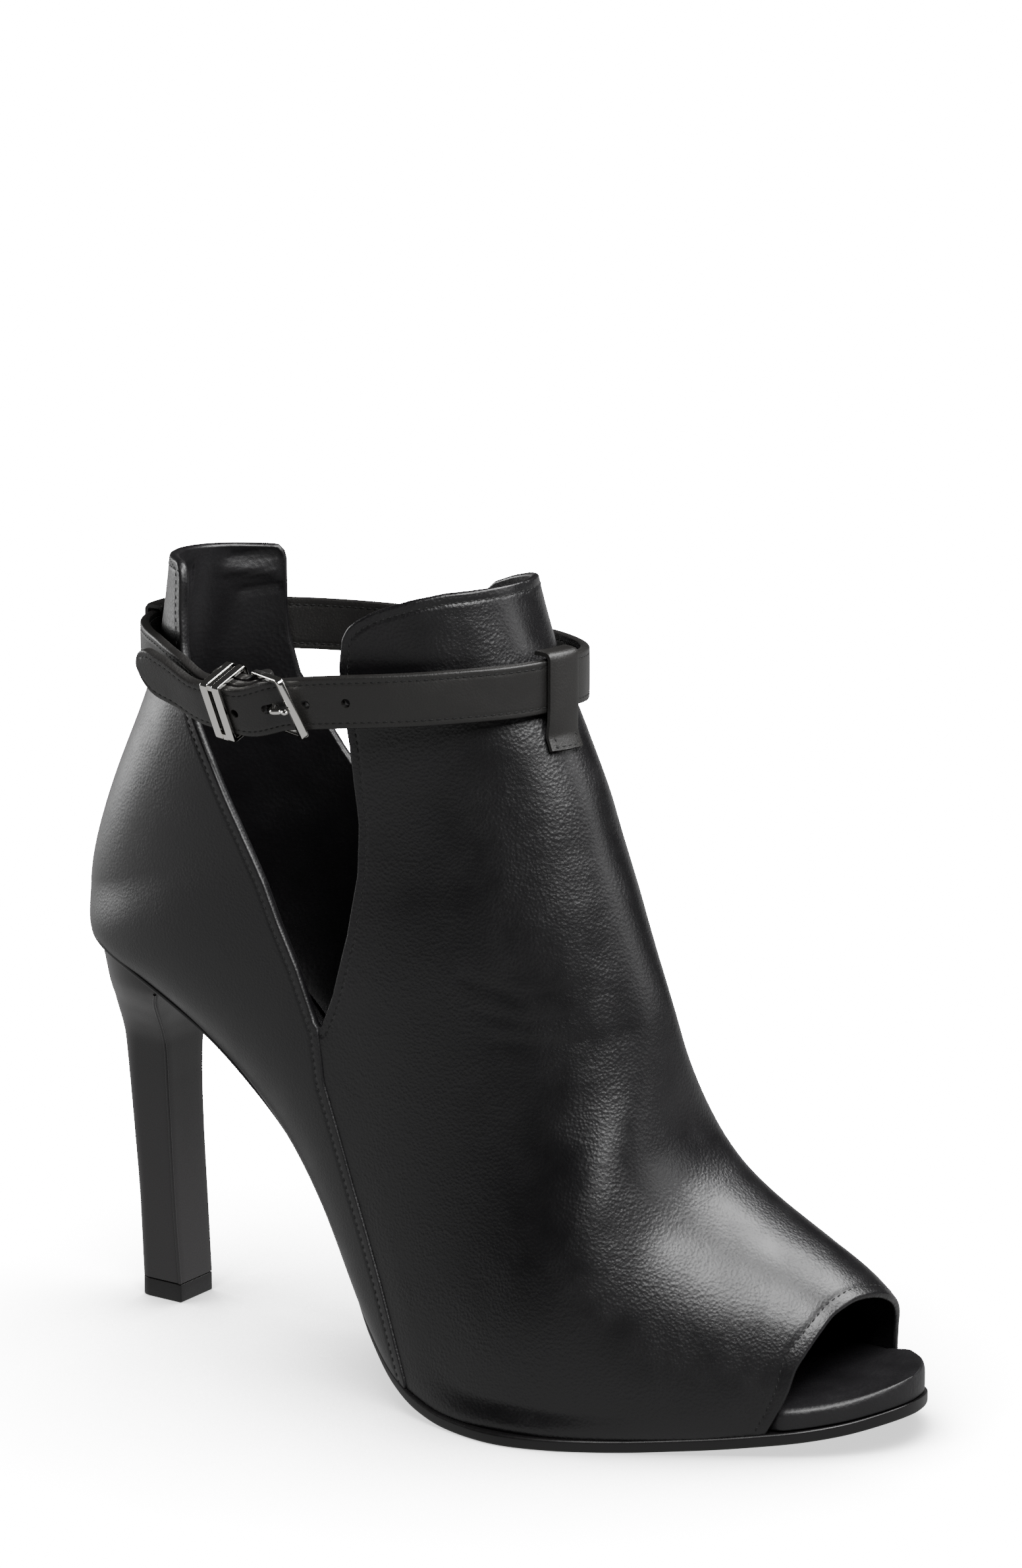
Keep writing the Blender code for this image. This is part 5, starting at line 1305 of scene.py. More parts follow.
@dataclass
class Heel:
    """The covered heel block with its wrap seam, and the top lift under it.

    Args:
        bench: Where meshes are made.
        finishes: Every finish.
        lift: Height of the top lift.
    """

    bench: Bench
    finishes: Finishes
    lift: float = 5.0 * MM

    def outline(self, level: float) -> Array:
        """Outline of the heel at a level, from the breast's outer corner round the back."""
        front, back, half, corner = (
            float(smooth(column(HEEL, 0), column(HEEL, i), level)) for i in range(1, 5))
        front, back, half = front * LENGTH, back * LENGTH, half * BALL_WIDTH
        corner_y = corner * half
        corner_x = min(1.6 * corner_y, 0.9 * (front - back))
        small = 0.06 * half
        side = [(front, -f * (half - small)) for f in (0.0, 0.35, 0.7)]
        side += [(front - small * (1 - math.cos(t)), -half + small * (1 - math.sin(t)))
                 for t in np.linspace(0.0, math.pi / 2, 5)]
        flat = np.linspace(front - small, back + corner_x, 7)[1:-1]
        side += [(x, -half) for x in flat]
        side += [(back + corner_x * (1 - math.sin(t)), -half + corner_y * (1 - math.cos(t)))
                 for t in np.linspace(0.0, math.pi / 2, 14)]
        side += [(back, -half + corner_y + s * (half - corner_y)) for s in (0.5,)]
        outer = np.array(side)
        inner = outer[::-1][:-1] * (1.0, -1.0)
        return np.vstack([outer, [(back, 0.0)], inner])

    def build(self) -> list[bpy.types.Object]:
        """Builds the block, its seam and the lift."""
        levels = np.linspace(self.lift / HEEL_HEIGHT, HEEL[-1][0], 260)
        shape = np.array([self.outline(level) for level in levels])
        count = shape.shape[1]
        columns = np.empty((90, count, 3))
        for j in range(count):
            room = sole_bottom(shape[:, j, 0]) - GAP - levels * HEEL_HEIGHT
            past = np.nonzero(room < 0)[0]
            end = past[0] if len(past) else len(levels) - 1
            top = np.interp(0.0, [room[end], room[end - 1]], [levels[end], levels[end - 1]])
            at = np.linspace(levels[0], top, 90)
            columns[:, j, 0] = np.interp(at, levels, shape[:, j, 0])
            columns[:, j, 1] = np.interp(at, levels, shape[:, j, 1])
            columns[:, j, 2] = at * HEEL_HEIGHT
        block = self.bench.loft("heel_cover", list(columns), [self.finishes.wrap], sharp=55.0)
        lip = columns[:, 6].copy()
        seam = self.bench.tube("heel_wrap_seam", lip[:88], np.full(88, 0.42 * MM), self.finishes.wrap, 10)
        base = self.outline(self.lift / HEEL_HEIGHT)
        middle = base.mean(0)
        half = np.abs(base[:, 1]).max()
        rings = []
        for z, inset in ((0.0, 0.3 * MM), (0.12 * MM, 0.1 * MM), (0.3 * MM, 0.0),
                         (self.lift - GAP - 0.1 * MM, 0.0),
                         (self.lift - GAP, 0.1 * MM)):
            grown = middle + (base - middle) * (1 - inset / half)
            rings.append(np.column_stack([grown, np.full(len(grown), z)]))
        lift = self.bench.loft("top_lift_rubber", rings, [self.finishes.rubber], sharp=35.0)
        return [block, seam, lift]


class Ring:
    """The oval that the strap's main layer runs on. Places on it are lengths from the buckle's rear bar."""

    def __init__(self, last: Last, strap: Strap) -> None:
        """Fits the oval round the shaft."""
        front_low = self.rise(0.0) - strap.width / 2
        back_low = self.rise(math.pi) - strap.width / 2
        clear = strap.clearance + strap.thick / 2
        front = last.shaft_x("head", front_low) + clear
        back = last.shaft_x("foot", back_low) - clear
        outer, inner = last.table["outer"][-1], last.table["inner"][-1]
        self.middle = np.array([(front + back) / 2, (outer + inner) / 2])
        self.long = (front - back) / 2
        self.wide = (inner - outer) / 2 + strap.standoff + strap.thick / 2
        self.turns = np.linspace(0.0, 2 * math.pi, 1441)
        points = np.stack([self.long * np.cos(self.turns), -self.wide * np.sin(self.turns)], 1)
        self.arc = np.concatenate([[0.0], np.cumsum(np.linalg.norm(np.diff(points, axis=0), axis=1))])
        self.whole = float(self.arc[-1])
        self.start = float(np.interp(math.radians(strap.bar_turn), self.turns, self.arc))

    def rise(self, turn: float) -> float:
        """Height of the strap's middle at a turn."""
        return SHAFT_HEIGHT * float(smooth(np.radians(column(STRAP_RISE, 0)), column(STRAP_RISE, 1), turn))

    def turn(self, place: float) -> float:
        """Turn round the ankle at a place."""
        return float(np.interp((self.start + place) % self.whole, self.arc, self.turns))

    def facing(self, turn: float) -> Array:
        """Level direction straight out of the oval at a turn."""
        return unit(np.array([math.cos(turn) / self.long, -math.sin(turn) / self.wide, 0.0]))

    def bend(self, turn: float) -> float:
        """Radius of the oval's bend at a turn."""
        reach = (self.long * math.sin(turn)) ** 2 + (self.wide * math.cos(turn)) ** 2
        return reach ** 1.5 / (self.long * self.wide)

    def lean(self, turn: float) -> float:
        """Angle by which the strap's top stands further out than its foot at a turn."""
        return math.radians(float(smooth(column(STRAP_RISE, 0), column(STRAP_RISE, 2), math.degrees(turn))))

    def middle_at(self, place: float) -> Array:
        """Point on the oval at a place."""
        turn = self.turn(place)
        x, y = self.middle + (self.long * math.cos(turn), -self.wide * math.sin(turn))
        return np.array([x, y, self.rise(turn)])

    def axes(self, place: float) -> tuple[Array, Array, Array]:
        """Directions at a place: along the strap, out of its face and up across it."""
        along = unit(self.middle_at(place + 0.4 * MM) - self.middle_at(place - 0.4 * MM))
        turn = self.turn(place)
        level, lean = self.facing(turn), self.lean(turn)
        out = math.cos(lean) * level - math.sin(lean) * np.cross(along, level)
        return along, out, np.cross(along, out)

    def spot(self, place: float, off: float = 0.0) -> Array:
        """Point at a place, moved out of the strap's face by off."""
        return self.middle_at(place) + off * self.axes(place)[1]


@dataclass
class Strap:
    """The ankle strap in one piece, with its holes and its two rows of stitches.

    Args:
        width: Width of the strap.
        thick: Its thickness.
        clearance: Room between it and the shaft, front and back.
        standoff: Room at the sides.
        layer_gap: Room between its two layers at the buckle.
        fold_clearance: Room between the fold and the buckle's rear bar.
        fold_length: Length of the sewn fold.
        tail_length: Length of the free end behind the buckle.
        tail_lift: How far the free end stands out.
        tail_rise: How far it rises.
        hole: Diameter of the holes.
        hole_pitch: Distance from hole to hole.
        bar_turn: Turn of the buckle's rear bar, in degrees.
        bar_thick: Thickness of that bar.
        prong_hole: Distance of the prong's hole from the bar.
        prong_hole_length: Length of that hole.
        prong_thick: Thickness of the prong.
        keeper_place: Distance of the metal keeper behind the bar.
    """

    width: float = 12.6 * MM
    thick: float = 2.3 * MM
    clearance: float = 0.7 * MM
    standoff: float = 4.1 * MM
    layer_gap: float = 0.4 * MM
    fold_clearance: float = 0.7 * MM
    fold_length: float = 15.0 * MM
    tail_length: float = 37.0 * MM
    tail_lift: float = 3.2 * MM
    tail_rise: float = 1.5 * MM
    hole: float = 2.2 * MM
    hole_pitch: float = 10.0 * MM
    bar_turn: float = 94.4
    bar_thick: float = 1.8 * MM
    prong_hole: float = 5.0 * MM
    prong_hole_length: float = 4.8 * MM
    prong_thick: float = 1.5 * MM
    keeper_place: float = 9.5 * MM

    def step(self) -> float:
        """How far one layer stands out from the one under it."""
        return self.thick + self.layer_gap

    def fold_radius(self) -> float:
        """Radius of the fold round the rear bar, to the middle of the leather."""
        return self.bar_thick / 2 + self.fold_clearance + self.thick / 2

    def tail_share(self, ring: Ring, place: float) -> float:
        """How far along the free tail behind the keeper a place is, from 0 to 1."""
        start = ring.whole + self.keeper_place + 4.0 * MM
        return max(place - start, 0.0) / (ring.whole + self.tail_length - start)

    def outer_off(self, ring: Ring, place: float) -> float:
        """How far the free end stands out from the main layer."""
        start, met = ring.whole - 56.0 * MM, ring.whole - 16.0 * MM
        rise = float(np.clip((place - start) / (met - start), 0.0, 1.0))
        return self.step() * rise * rise * (3 - 2 * rise) + self.tail_lift * self.tail_share(ring,
                                                                                             place) ** 1.5

    def centre(self, ring: Ring, place: float) -> tuple[Array, Array, Array, Array]:
        """Middle of the strap at a place with its three directions."""
        along, out, up = ring.axes(place)
        raised = self.tail_rise * self.tail_share(ring, place) ** 1.4
        spot = ring.spot(place, self.outer_off(ring, place)) + raised * up
        return spot, along, out, up

    def section(self, middle: Array, out: Array, up: Array, half: float) -> Array:
        """One section, with eased edges, a crowned face and a pressed line under each row of stitches."""
        t, ease_edge = self.thick / 2, 0.45 * MM
        line = min(1.5 * MM, 0.4 * half)
        across = [half - ease_edge * 0.35, half - ease_edge, half - line + 0.35 * MM, half - line,
                  half - line - 0.4 * MM, 0.6 * half, 0.3 * half, 0.0]
        rise = [t - 0.14 * MM, t, t + 0.02 * MM, t - 0.10 * MM, t + 0.04 * MM, t + 0.08 * MM, t + 0.1 * MM,
                t + 0.1 * MM]
        across = [min(a, half) for a in across]
        face = [(r, a) for a, r in zip(across, rise)]
        front = [(r, -a) for r, a in face[:-1]] + face[::-1]
        back = [(-r + (0.1 * MM if 0 < i < 14 else 0.0), a) for i, (r, a) in enumerate(reversed(front))]
        side = [(t - ease_edge, half)]
        low = [(-t + ease_edge, half)]
        ring = front + side + low + back + [(-t + ease_edge, -half), (t - ease_edge, -half)]
        return np.array([middle + out * a + up * b for a, b in ring])

    def rings(self, ring: Ring) -> list[Array]:
        """Sections from the end sewn under the fold, round the rear bar and the ankle, to the tip."""
        half, radius, step = self.width / 2, self.fold_radius(), self.step()
        made = []
        for place in np.append(np.linspace(self.fold_length, 0.4 * self.fold_length, 8),
                               np.linspace(0.37 * self.fold_length, 0.0, 14)):
            near = float(np.clip(1 - place / (0.36 * self.fold_length), 0.0, 1.0))
            off = -step - (2 * radius - step) * near * near * (3 - 2 * near)
            along, out, up = ring.axes(place)
            made.append(self.section(ring.spot(place, off), -out, up, half))
        along, out, up = ring.axes(0.0)
        bar = ring.spot(0.0, -radius)
        for turn in np.radians(np.linspace(-80.0, 80.0, 17)):
            away = -math.cos(turn) * along + math.sin(turn) * out
            made.append(self.section(bar + radius * away, away, up, half))
        whole = ring.whole + self.tail_length
        tip = whole - half * (1 - np.sin(np.radians(np.linspace(4, 82, 18))))
        for place in np.concatenate([np.linspace(0.0, whole - half, 330), tip]):
            short = max(place - (whole - half), 0.0)
            spot, along, out, up = self.centre(ring, place)
            made.append(self.section(spot, out, up, max(math.sqrt(half * half - short * short), 0.8 * MM)))
        return made

    def build(self, bench: Bench, ring: Ring, finishes: Finishes) -> list[bpy.types.Object]:
        """Builds the strap, punches its holes and sews it."""
        body = bench.loft("strap_uncut", self.rings(ring), [finishes.strap], sharp=45.0)
        cutters = []
        places = [ring.whole - self.prong_hole - self.hole_pitch,
                  ring.whole - self.prong_hole - 2 * self.hole_pitch,
                  ring.whole - self.prong_hole + self.hole_pitch]
        for i, place in enumerate([ring.whole - self.prong_hole] + places):
            spot, along, out, up = self.centre(ring, place)
            straight = (self.prong_hole_length - self.hole) / 2 if i == 0 else 0.0
            turn = np.linspace(0.0, 2 * math.pi, 24, endpoint=False)
            x = self.hole / 2 * np.cos(turn) + straight * np.sign(np.cos(turn))
            y = self.hole / 2 * np.sin(turn)
            reach = 0.55 * (self.thick + self.layer_gap)
            rings = [[spot + along * a + up * b + out * o for a, b in zip(x, y)] for o in (-reach, reach)]
            cutters.append(bench.loft("hole_%d" % i, rings, [finishes.strap]))
        for cutter in cutters:
            hole = body.modifiers.new(cutter.name, "BOOLEAN")
            hole.operation, hole.solver, hole.object = "DIFFERENCE", "EXACT", cutter
        bpy.context.view_layer.update()
        strap = bench.solid("ankle_strap", body)
        strap.data.shade_smooth()
        strap.data.set_sharp_from_angle(angle=math.radians(45.0))
        for cutter in cutters:
            bpy.data.objects.remove(cutter)
        return [strap, self.sew(bench, ring, finishes)]

    def sew(self, bench: Bench, ring: Ring, finishes: Finishes) -> bpy.types.Object:
        """Two rows along the strap, joined round its tip, on both faces."""
        half, whole = self.width / 2, ring.whole + self.tail_length
        line = half - 1.5 * MM
        rows = []
        for face in (1.0, -1.0):
            path, lay = [], []
            straight = np.linspace(3.0 * MM, whole - half, 400)
            bow = np.radians(np.linspace(6.0, 174.0, 24))
            stops = [(p, line) for p in straight] + [(whole - half + line * math.sin(b),
                                                      line * math.cos(b)) for b in bow]
            stops += [(p, -line) for p in straight[::-1]]
            for place, high in stops:
                spot, _, out, up = self.centre(ring, place)
                path.append(spot + up * high + out * face * (self.thick / 2 - 0.14 * MM))
                lay.append(out * face)
            rows.append((np.array(path), np.array(lay)))
        return Stitcher(bench, finishes.thread, width=0.44 * MM, length=1.35 * MM).sew("strap_stitches", rows)


@dataclass
class Fittings:
    """The buckle's frame and prong and the metal keeper.

    Args:
        strap: The strap that they fit.
        front_width: Width of the buckle's front bar.
        rail: Height of its rails.
        rail_room: Room between strap and rails.
        reach: Distance from the rear to the front bar.
        lift: How far the front bar stands out.
        keeper_wall: Thickness of the keeper.
        keeper_bar: Width of each of its bars.
        keeper_slot: Gap between them.
    """

    strap: Strap
    front_width: float = 2.3 * MM
    rail: float = 1.2 * MM
    rail_room: float = 0.5 * MM
    reach: float = 12.3 * MM
    lift: float = 5.8 * MM
    keeper_wall: float = 1.1 * MM
    keeper_bar: float = 2.3 * MM
    keeper_slot: float = 1.5 * MM

    def axes(self, ring: Ring) -> tuple[Array, Array, Array, Array, float]:
        """The buckle's directions forwards, up and outwards, the middle of its rear bar and its length."""
        rear = ring.spot(0.0, -self.strap.fold_radius())
        forward = ring.spot(-self.reach, self.lift) - rear
        length = float(np.linalg.norm(forward))
        forward = forward / length
        up = ring.axes(0.0)[2]
        up = unit(up - (up @ forward) * forward)
        return forward, up, np.cross(forward, up), rear, length

    def plate(self, bench: Bench, name: str, outer: Array, inner: Array, thick: float, axes: tuple,
              material: bpy.types.Material, edge: float) -> bpy.types.Object:
        """A flat plate with a window, its edges rounded.

        Args:
            bench: Where meshes are made.
            name: Name of the piece.
            outer: Outline of the plate.
            inner: Outline of its window, with as many points.
            thick: Its thickness.
            axes: Its two directions, the one out of it, and its middle.
            material: Its finish.
            edge: Radius that rounds its edges.

        Returns:
            The plate.
        """
        right, up, out, spot = axes
        section = []
        for turn in np.radians(np.linspace(0.0, 90.0, 5)):
            section.append((edge * (1 - math.cos(turn)), thick / 2 - edge + edge * math.sin(turn)))
        profile = [(0.0 + a, -b) for a, b in reversed(section)] + section
        rings = []
        for p, q in zip(outer, inner):
            run = q - p
            wide = np.linalg.norm(run)
            step = run / wide
            side_in = [(wide - a, b) for a, b in reversed(profile)]
            ring = [p + step * a for a, b in profile + side_in]
            heights = [b for a, b in profile + side_in]
            rings.append([spot + right * r[0] + up * r[1] + out * h for r, h in zip(ring, heights)])
        return bench.loft(name, rings, [material], sharp=60.0, wrap=True)

    def corners(self, half_wide: float, half_high: float, middle: float, radius: float) -> Array:
        """A rounded rectangle with points spread evenly by corner."""
        box = [(middle - half_wide, -half_high), (middle + half_wide, -half_high),
               (middle + half_wide, half_high), (middle - half_wide, half_high)]
        return rounded(box, [radius] * 4, 10)

    def build(self, bench: Bench, ring: Ring, finishes: Finishes) -> list[bpy.types.Object]:
        """Builds frame, prong and keeper."""
        strap = self.strap
        forward, up, out, rear, length = self.axes(ring)
        high = strap.width / 2 + self.rail_room
        back, front = -strap.bar_thick / 2, length + self.front_width / 2
        outer = self.corners((front - back) / 2, high + self.rail, (front + back) / 2, 1.6 * MM)
        back, front = strap.bar_thick / 2, length - self.front_width / 2
        inner = self.corners((front - back) / 2, high, (front + back) / 2, 0.5 * MM)
        frame = self.plate(bench, "buckle_bars", outer, inner, strap.bar_thick, (forward, up, out, rear),
                           finishes.nickel, 0.42 * MM)
        return [frame, self.prong(bench, ring, finishes), self.keeper(bench, ring, finishes)]

    def prong(self, bench: Bench, ring: Ring, finishes: Finishes) -> bpy.types.Object:
        """The prong: hooked round the rear bar, up through the hole and resting on the front bar."""
        strap = self.strap
        forward, up, out, rear, length = self.axes(ring)
        hook = strap.bar_thick / 2 * 1.25 + GAP + strap.prong_thick / 2
        rest = strap.bar_thick / 2 + GAP + strap.prong_thick / 2
        along = ring.axes(0.0)[0]
        off = unit(np.cross(-along, up))
        path = [rear + hook * (math.sin(t) * off - math.cos(t) * along) for t in np.radians(np.linspace(-50,
                                                                                                        -270,
                                                                                                        20))]
        hole = ring.spot(-strap.prong_hole, strap.outer_off(ring, ring.whole - strap.prong_hole))
        thick = strap.thick / 2
        for ahead, above in ((-3.2, -2.0 * thick - 1.1 * MM), (-2.0, -1.9 * thick - 0.75 * MM),
                             (-1.0, -thick - 0.5 * MM), (0.0, 0.0), (1.0, thick + 0.5 * MM),
                             (2.3, 2.0 * thick + 0.9 * MM)):
            path.append(hole - along * ahead * MM + off * above)
        front = rear + forward * length
        path += [front + out * rest - forward * 1.5 * MM,
                 front + out * rest + forward * 0.6 * self.front_width]
        path = np.array(path)
        run = np.concatenate([[0.0], np.cumsum(np.linalg.norm(np.diff(path, axis=0), axis=1))])
        at = np.linspace(0.0, run[-1], 70)
        fine = np.stack([np.interp(at, run, path[:, k]) for k in range(3)], 1)
        for _ in range(3):
            fine[1:-1] = (fine[:-2] + 2 * fine[1:-1] + fine[2:]) / 4
        radii = np.full(70, strap.prong_thick / 2)
        radii[-5:] *= np.array([1.0, 0.97, 0.88, 0.68, 0.3])
        return bench.tube("buckle_tongue", fine, radii, finishes.nickel, 20)

    def keeper(self, bench: Bench, ring: Ring, finishes: Finishes) -> bpy.types.Object:
        """Two flat bars side by side in front, joined into one loop round the strap's layers."""
        strap = self.strap
        _, out, up = ring.axes(strap.keeper_place)
        half_in = strap.step() + strap.thick / 2 + GAP + 0.1 * MM
        high_in = strap.width / 2 + self.rail_room
        spot = ring.spot(strap.keeper_place)
        ahead = np.cross(out, up)
        parts = []
        shift = (self.keeper_slot + self.keeper_bar) / 2
        for sign in (-1.0, 1.0):
            outer = self.corners(half_in + self.keeper_wall, high_in + self.keeper_wall, 0.0, 1.3 * MM)
            inner = self.corners(half_in, high_in, 0.0, 0.5 * MM)
            parts.append(self.plate(bench, "bar", outer, inner, self.keeper_bar,
                                    (out, up, ahead, spot + ahead * shift * sign), finishes.nickel, 0.3 * MM))
        for low, high in ((high_in - 0.6 * MM, high_in + self.keeper_wall - 0.25 * MM),
                          (-high_in - self.keeper_wall + 0.25 * MM, -high_in + 0.6 * MM)):
            rings = [[spot + out * a + up * b + ahead * c for a, b in
                      ((-half_in * 0.8, low), (half_in + self.keeper_wall * 0.6, low),
                       (half_in + self.keeper_wall * 0.6, high), (-half_in * 0.8, high))]
                     for c in (-shift, shift)]
            parts.append(bench.loft("bridge", rings, [finishes.nickel], sharp=30.0))
        joined = bmesh.new()
        for part in parts:
            joined.from_mesh(part.data)
            bpy.data.objects.remove(part)
        data = bpy.data.meshes.new("strap_slide")
        joined.to_mesh(data)
        joined.free()
        data.materials.append(finishes.nickel)
        data.shade_smooth()
        data.set_sharp_from_angle(angle=math.radians(60.0))
        made = bpy.data.objects.new("strap_slide", data)
        bpy.context.scene.collection.objects.link(made)
        return made


@dataclass
class Loop:
    """A leather loop that holds the strap: sewn to the shaft below it, over it and turned in above it.

    Args:
        name: Name of the piece.
        turn: Where it is round the ankle, in degrees.
        width: Its width.
        tab: Length of the sewn tab under the strap.
        turn_in: Length turned in above the strap.
        thick: Thickness of the leather.
    """

    name: str
    turn: float
    width: float
    tab: float
    turn_in: float
    thick: float = 1.3 * MM

    def shaft_reach(self, last: Last, z: float, spot: Array, facing: Array) -> float:
        """How far the shaft's face is from a spot, along a level direction."""
        front, back = last.shaft_x("head", z), last.shaft_x("foot", z)
        low, high = -0.5 * BALL_WIDTH, 0.5 * BALL_WIDTH
        for _ in range(40):
            middle = (low + high) / 2
            x, y = spot[0] + middle * facing[0], spot[1] + middle * facing[1]
            wide = last.table["inner"][-1] if y > 0 else -last.table["outer"][-1]
            along = abs(2 * x - front - back) / (front - back)
            outside = along ** ANKLE_FULLNESS + (abs(y) / wide) ** ANKLE_FULLNESS > 1
            low, high = (low, middle) if outside else (middle, high)
        return (low + high) / 2

    def build(self, bench: Bench, last: Last, ring: Ring, strap: Strap,
              finishes: Finishes) -> list[bpy.types.Object]:
        """Builds the loop and its box of stitches."""
        turn = math.radians(self.turn)
        facing = ring.facing(turn)
        level = np.array([-facing[1], facing[0], 0.0])
        spread = 0.55 * self.width / ring.wide
        rises = [ring.rise(abs(turn + k * spread)) for k in (-1, 0, 1)]
        low, top = min(rises) - strap.width / 2, max(rises) + strap.width / 2
        x, y = ring.middle + (ring.long * math.cos(turn), -ring.wide * math.sin(turn))
        face = np.array([x, y, 0.0]) + facing * strap.thick / 2
        half = self.thick / 2
        near, out = half + 1.6 * GAP, half + 2.2 * GAP

        def on_leather(z: float) -> float:
            return self.shaft_reach(last, z, face, facing) + near

        over = top + 1.2 * GAP + half
        end, held = low - 3.6 * MM - self.tab, low - 3.6 * MM - self.tab + 3.4 * MM
        behind = max(on_leather(over), -strap.thick - GAP - half)
        path = [(on_leather(end), end), (on_leather(held), held), (out, low + 1.0 * MM), (out, over),
                (behind, over), (max(on_leather(over - self.turn_in), behind), over - self.turn_in)]
        corners = rounded(path, [0.0, 4.0 * MM, 3.0 * MM, 1.3 * MM, 1.0 * MM, 0.0], 8)
        run = np.concatenate([[0.0], np.cumsum(np.linalg.norm(np.diff(corners, axis=0), axis=1))])
        at = np.linspace(0.0, run[-1], 60)
        points = np.stack([np.interp(at, run, corners[:, k]) for k in range(2)], 1)
        along = unit(np.gradient(points, axis=0))
        sides = np.linspace(-self.width / 2, self.width / 2, 13)

        def spot_at(r: float, z: float, normal: Array, side: float, layer: float) -> Array:
            off = float(np.clip((r - on_leather(z)) / (2.0 * MM), 0.0, 1.0))
            beside = self.shaft_reach(last, z, face + level * side, facing)
            shaft = self.shaft_reach(last, z, face, facing) - beside
            fall = (1 - off) * shaft + off * side * side / (2 * ring.bend(turn))
            height = np.array([0, 0, z - normal[0] * layer])
            return face + level * side + facing * (r + normal[1] * layer - fall) + height

        rings = []
        for (r, z), direction in zip(points, along):
            section = []
            for layer, order in ((half, sides), (-half, sides[::-1])):
                for i, side in enumerate(order):
                    soft = 0.72 if i in (0, len(order) - 1) else 1.0
                    section.append(spot_at(r, z, direction, side, layer * soft))
            rings.append(section)
        made = [bench.loft(self.name + "_leather", rings, [finishes.strap], sharp=50.0)]
        box, count = [], 6
        z0, z1 = end + 1.0 * MM, end + 4.0 * MM
        edge = self.width / 2 - 1.4 * MM
        for a, b in zip(((-edge, z0), (edge, z0), (edge, z1), (-edge, z1)),
                        ((edge, z0), (edge, z1), (-edge, z1), (-edge, z0))):
            for t in np.linspace(0.0, 1.0, count, endpoint=False):
                side, z = a[0] + t * (b[0] - a[0]), a[1] + t * (b[1] - a[1])
                box.append(spot_at(on_leather(z), z, np.array([0.0, 1.0]), side, half))
        box.append(box[0])
        sewer = Stitcher(bench, finishes.thread, width=0.42 * MM, length=1.3 * MM)
        made.append(sewer.sew(self.name + "_stitches", [(np.array(box), np.tile(facing, (len(box), 1)))],
                              1.6 * MM))
        return made


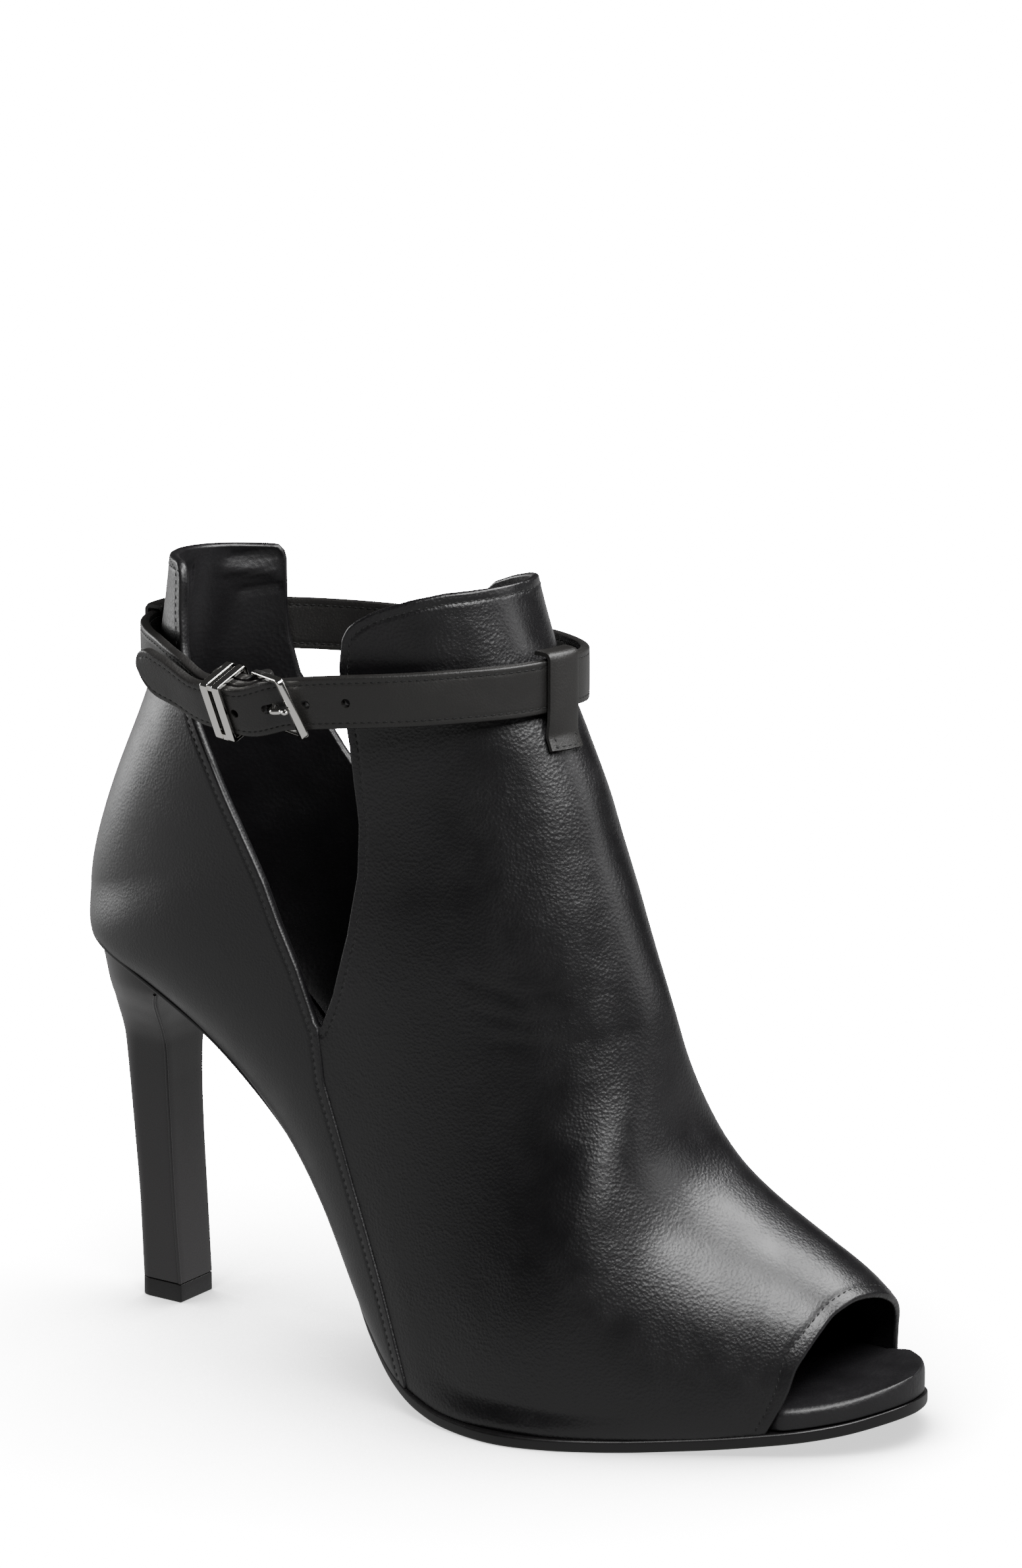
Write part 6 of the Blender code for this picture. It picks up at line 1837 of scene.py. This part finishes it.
@dataclass
class Studio:
    """Plain pale floor that glows, with a painted shadow near the boot, soft lights and the camera.

    Args:
        bench: Where meshes are made.
        floor: Strength of the floor's glow in the boot's shine and in the light it throws on the boot, darker
            than the floor the camera sees.
    """

    bench: Bench
    floor: float = 0.52

    def paper(self) -> bpy.types.Material:
        """White paper that glows instead of being lit: to the camera it shows a painted shadow, a soft grey
        close to the boot from ambient occlusion, not a cast shadow.
        """
        made = bpy.data.materials.new("glowing paper with painted shadow")
        made.use_nodes = True
        tree = made.node_tree
        tree.nodes.remove(tree.nodes["Principled BSDF"])
        # Painted shadow: the camera's view of the floor is darkened by ambient occlusion near the boot.
        near = add(tree, "ShaderNodeAmbientOcclusion", {"samples": 16}, {"Distance": 0.16})
        fall = add(tree, "ShaderNodeMath", {"operation": "POWER"}, {0: near.outputs["AO"], 1: 5.0})
        shade = add(tree, "ShaderNodeMath", {"operation": "MULTIPLY_ADD"},
                    {0: fall.outputs[0], 1: 24.0, 2: 1.2})
        glow = add(tree, "ShaderNodeEmission", None, {"Strength": shade.outputs[0]})
        # Other rays see an even, weaker glow, which lights the boot and shows in its shine.
        fill = add(tree, "ShaderNodeEmission", None, {"Strength": self.floor})
        seen = add(tree, "ShaderNodeLightPath")
        both = add(tree, "ShaderNodeMixShader", None, {0: seen.outputs["Is Camera Ray"]})
        tree.links.new(fill.outputs[0], both.inputs[1])
        tree.links.new(glow.outputs[0], both.inputs[2])
        tree.links.new(both.outputs[0], tree.nodes["Material Output"].inputs["Surface"])
        return made

    def light(self, name: str, place: tuple, size: float, power: float,
              target: tuple = (0.0, 0.0, 0.09)) -> None:
        """A square soft light that looks at a target."""
        data = bpy.data.lights.new(name, "AREA")
        data.shape, data.size, data.energy = "SQUARE", size, power
        made = bpy.data.objects.new(name, data)
        made.location = place
        made.rotation_mode = "QUATERNION"
        made.rotation_quaternion = (Vector(target) - Vector(place)).to_track_quat("-Z", "Y")
        bpy.context.scene.collection.objects.link(made)

    def build(self) -> None:
        """Sets up the studio."""
        data = bpy.data.meshes.new("floor")
        far = 6.0
        data.from_pydata([(-far, -far, 0.0), (far, -far, 0.0), (far, far, 0.0), (-far, far, 0.0)], [],
                         [(0, 1, 2, 3)])
        floor = bpy.data.objects.new("floor", data)
        bpy.context.scene.collection.objects.link(floor)
        data.materials.append(self.paper())
        world = bpy.data.worlds.new("studio")
        bpy.context.scene.world = world
        world.use_nodes = True
        world.node_tree.nodes["Background"].inputs["Color"].default_value = (1.0, 1.0, 1.0, 1.0)
        world.node_tree.nodes["Background"].inputs["Strength"].default_value = 0.035
        self.light("box_over_toe", (0.60, -0.42, 0.90), 0.50, 15.0, (0.06, 0.0, 0.05))
        self.light("box_overhead", (0.45, 0.38, 1.02), 0.60, 17.0, (0.06, 0.0, 0.05))
        self.light("box_left", (-1.2, 0.05, 0.28), 0.5, 6.0)
        self.light("box_right", (1.1, 0.35, 0.55), 0.5, 2.0)
        self.camera()

    def camera(self) -> None:
        """The camera at the photo's angle and distance."""
        turn, tilt = math.radians(CAMERA_AZIMUTH), math.radians(CAMERA_ELEVATION)
        right = np.array([math.cos(turn), math.sin(turn), 0.0])
        ahead = np.array([-math.sin(turn) * math.cos(tilt), math.cos(turn) * math.cos(tilt), -math.sin(tilt)])
        up = np.cross(right, ahead)
        across = (HEEL_CORNER_PIXEL[0] - IMAGE_WIDTH / 2) / FOCAL_PIXELS
        down = (HEEL_CORNER_PIXEL[1] - IMAGE_HEIGHT / 2) / FOCAL_PIXELS
        corner = np.array(HEEL_CORNER) + self.bench.shift
        data = bpy.data.cameras.new("camera")
        data.sensor_fit = "AUTO"
        data.sensor_width = SENSOR_LONG_SIDE
        data.lens = SENSOR_LONG_SIDE * FOCAL_PIXELS / IMAGE_HEIGHT
        data.clip_start, data.clip_end = 0.05, 50.0
        made = bpy.data.objects.new("camera", data)
        axes = Matrix(np.stack([right, up, -ahead], 1).tolist()).to_4x4()
        made.matrix_world = Matrix.Translation(
            corner - HEEL_CORNER_DEPTH * (ahead + right * across - up * down)) @ axes
        bpy.context.scene.collection.objects.link(made)
        bpy.context.scene.camera = made


def stand_for(pieces: Sequence[bpy.types.Object], slots: Sequence[str], nodes: Sequence[str]) -> None:
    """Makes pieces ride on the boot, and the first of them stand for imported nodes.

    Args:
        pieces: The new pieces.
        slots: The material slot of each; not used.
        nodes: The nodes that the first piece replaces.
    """
    for piece, slot in zip(pieces, slots):
        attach(piece, "root")
        LOG.info("%s: %d faces", piece.name, len(piece.data.polygons))
    if nodes:
        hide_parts(*nodes)


def main() -> None:
    """Builds the boot's looks and the studio."""
    logging.basicConfig(level=logging.INFO, format="%(message)s")
    for thing in list(bpy.data.objects):
        bpy.data.objects.remove(thing, do_unlink=True)
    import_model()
    x, outer, _ = sole_sides(lambda x, y: 0.0 * x, 56)
    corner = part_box("outsole")[0]
    bench = Bench((corner.x - float(x[0]), corner.y - float(outer.min())))
    finishes = Finishes()
    last = Last()
    strap = Strap()
    ring = Ring(last, strap)
    stand_for(Upper(bench, last, finishes).build(), ["upper_leather"] * 4, ["upper"])
    sole = Sole(bench, finishes).build()
    stand_for(sole[:1], ["sole_edge"], ["outsole"])
    stand_for(sole[1:], ["insole_cover"] * 2, ["insole"])
    heel = Heel(bench, finishes).build()
    stand_for(heel[:2], ["heel_cover"] * 2, ["heel"])
    stand_for(heel[2:], ["top_lift_rubber"], ["top_lift"])
    stand_for(strap.build(bench, ring, finishes), ["strap_leather"] * 2, ["strap"])
    fittings = Fittings(strap).build(bench, ring, finishes)
    for piece, node in zip(fittings, ("buckle_frame", "buckle_prong", "strap_keeper")):
        stand_for([piece], ["polished_metal"], [node])
    front = Loop("front_loop", 7.0, 9.0 * MM, 5.0 * MM, 0.6 * MM)
    back = Loop("back_loop", 180.0, 8.5 * MM, 6.0 * MM, 5.0 * MM)
    for loop in (front, back):
        stand_for(loop.build(bench, last, ring, strap, finishes), ["strap_leather"] * 2, [loop.name])
    Studio(bench).build()


if __name__ == "__main__":
    main()
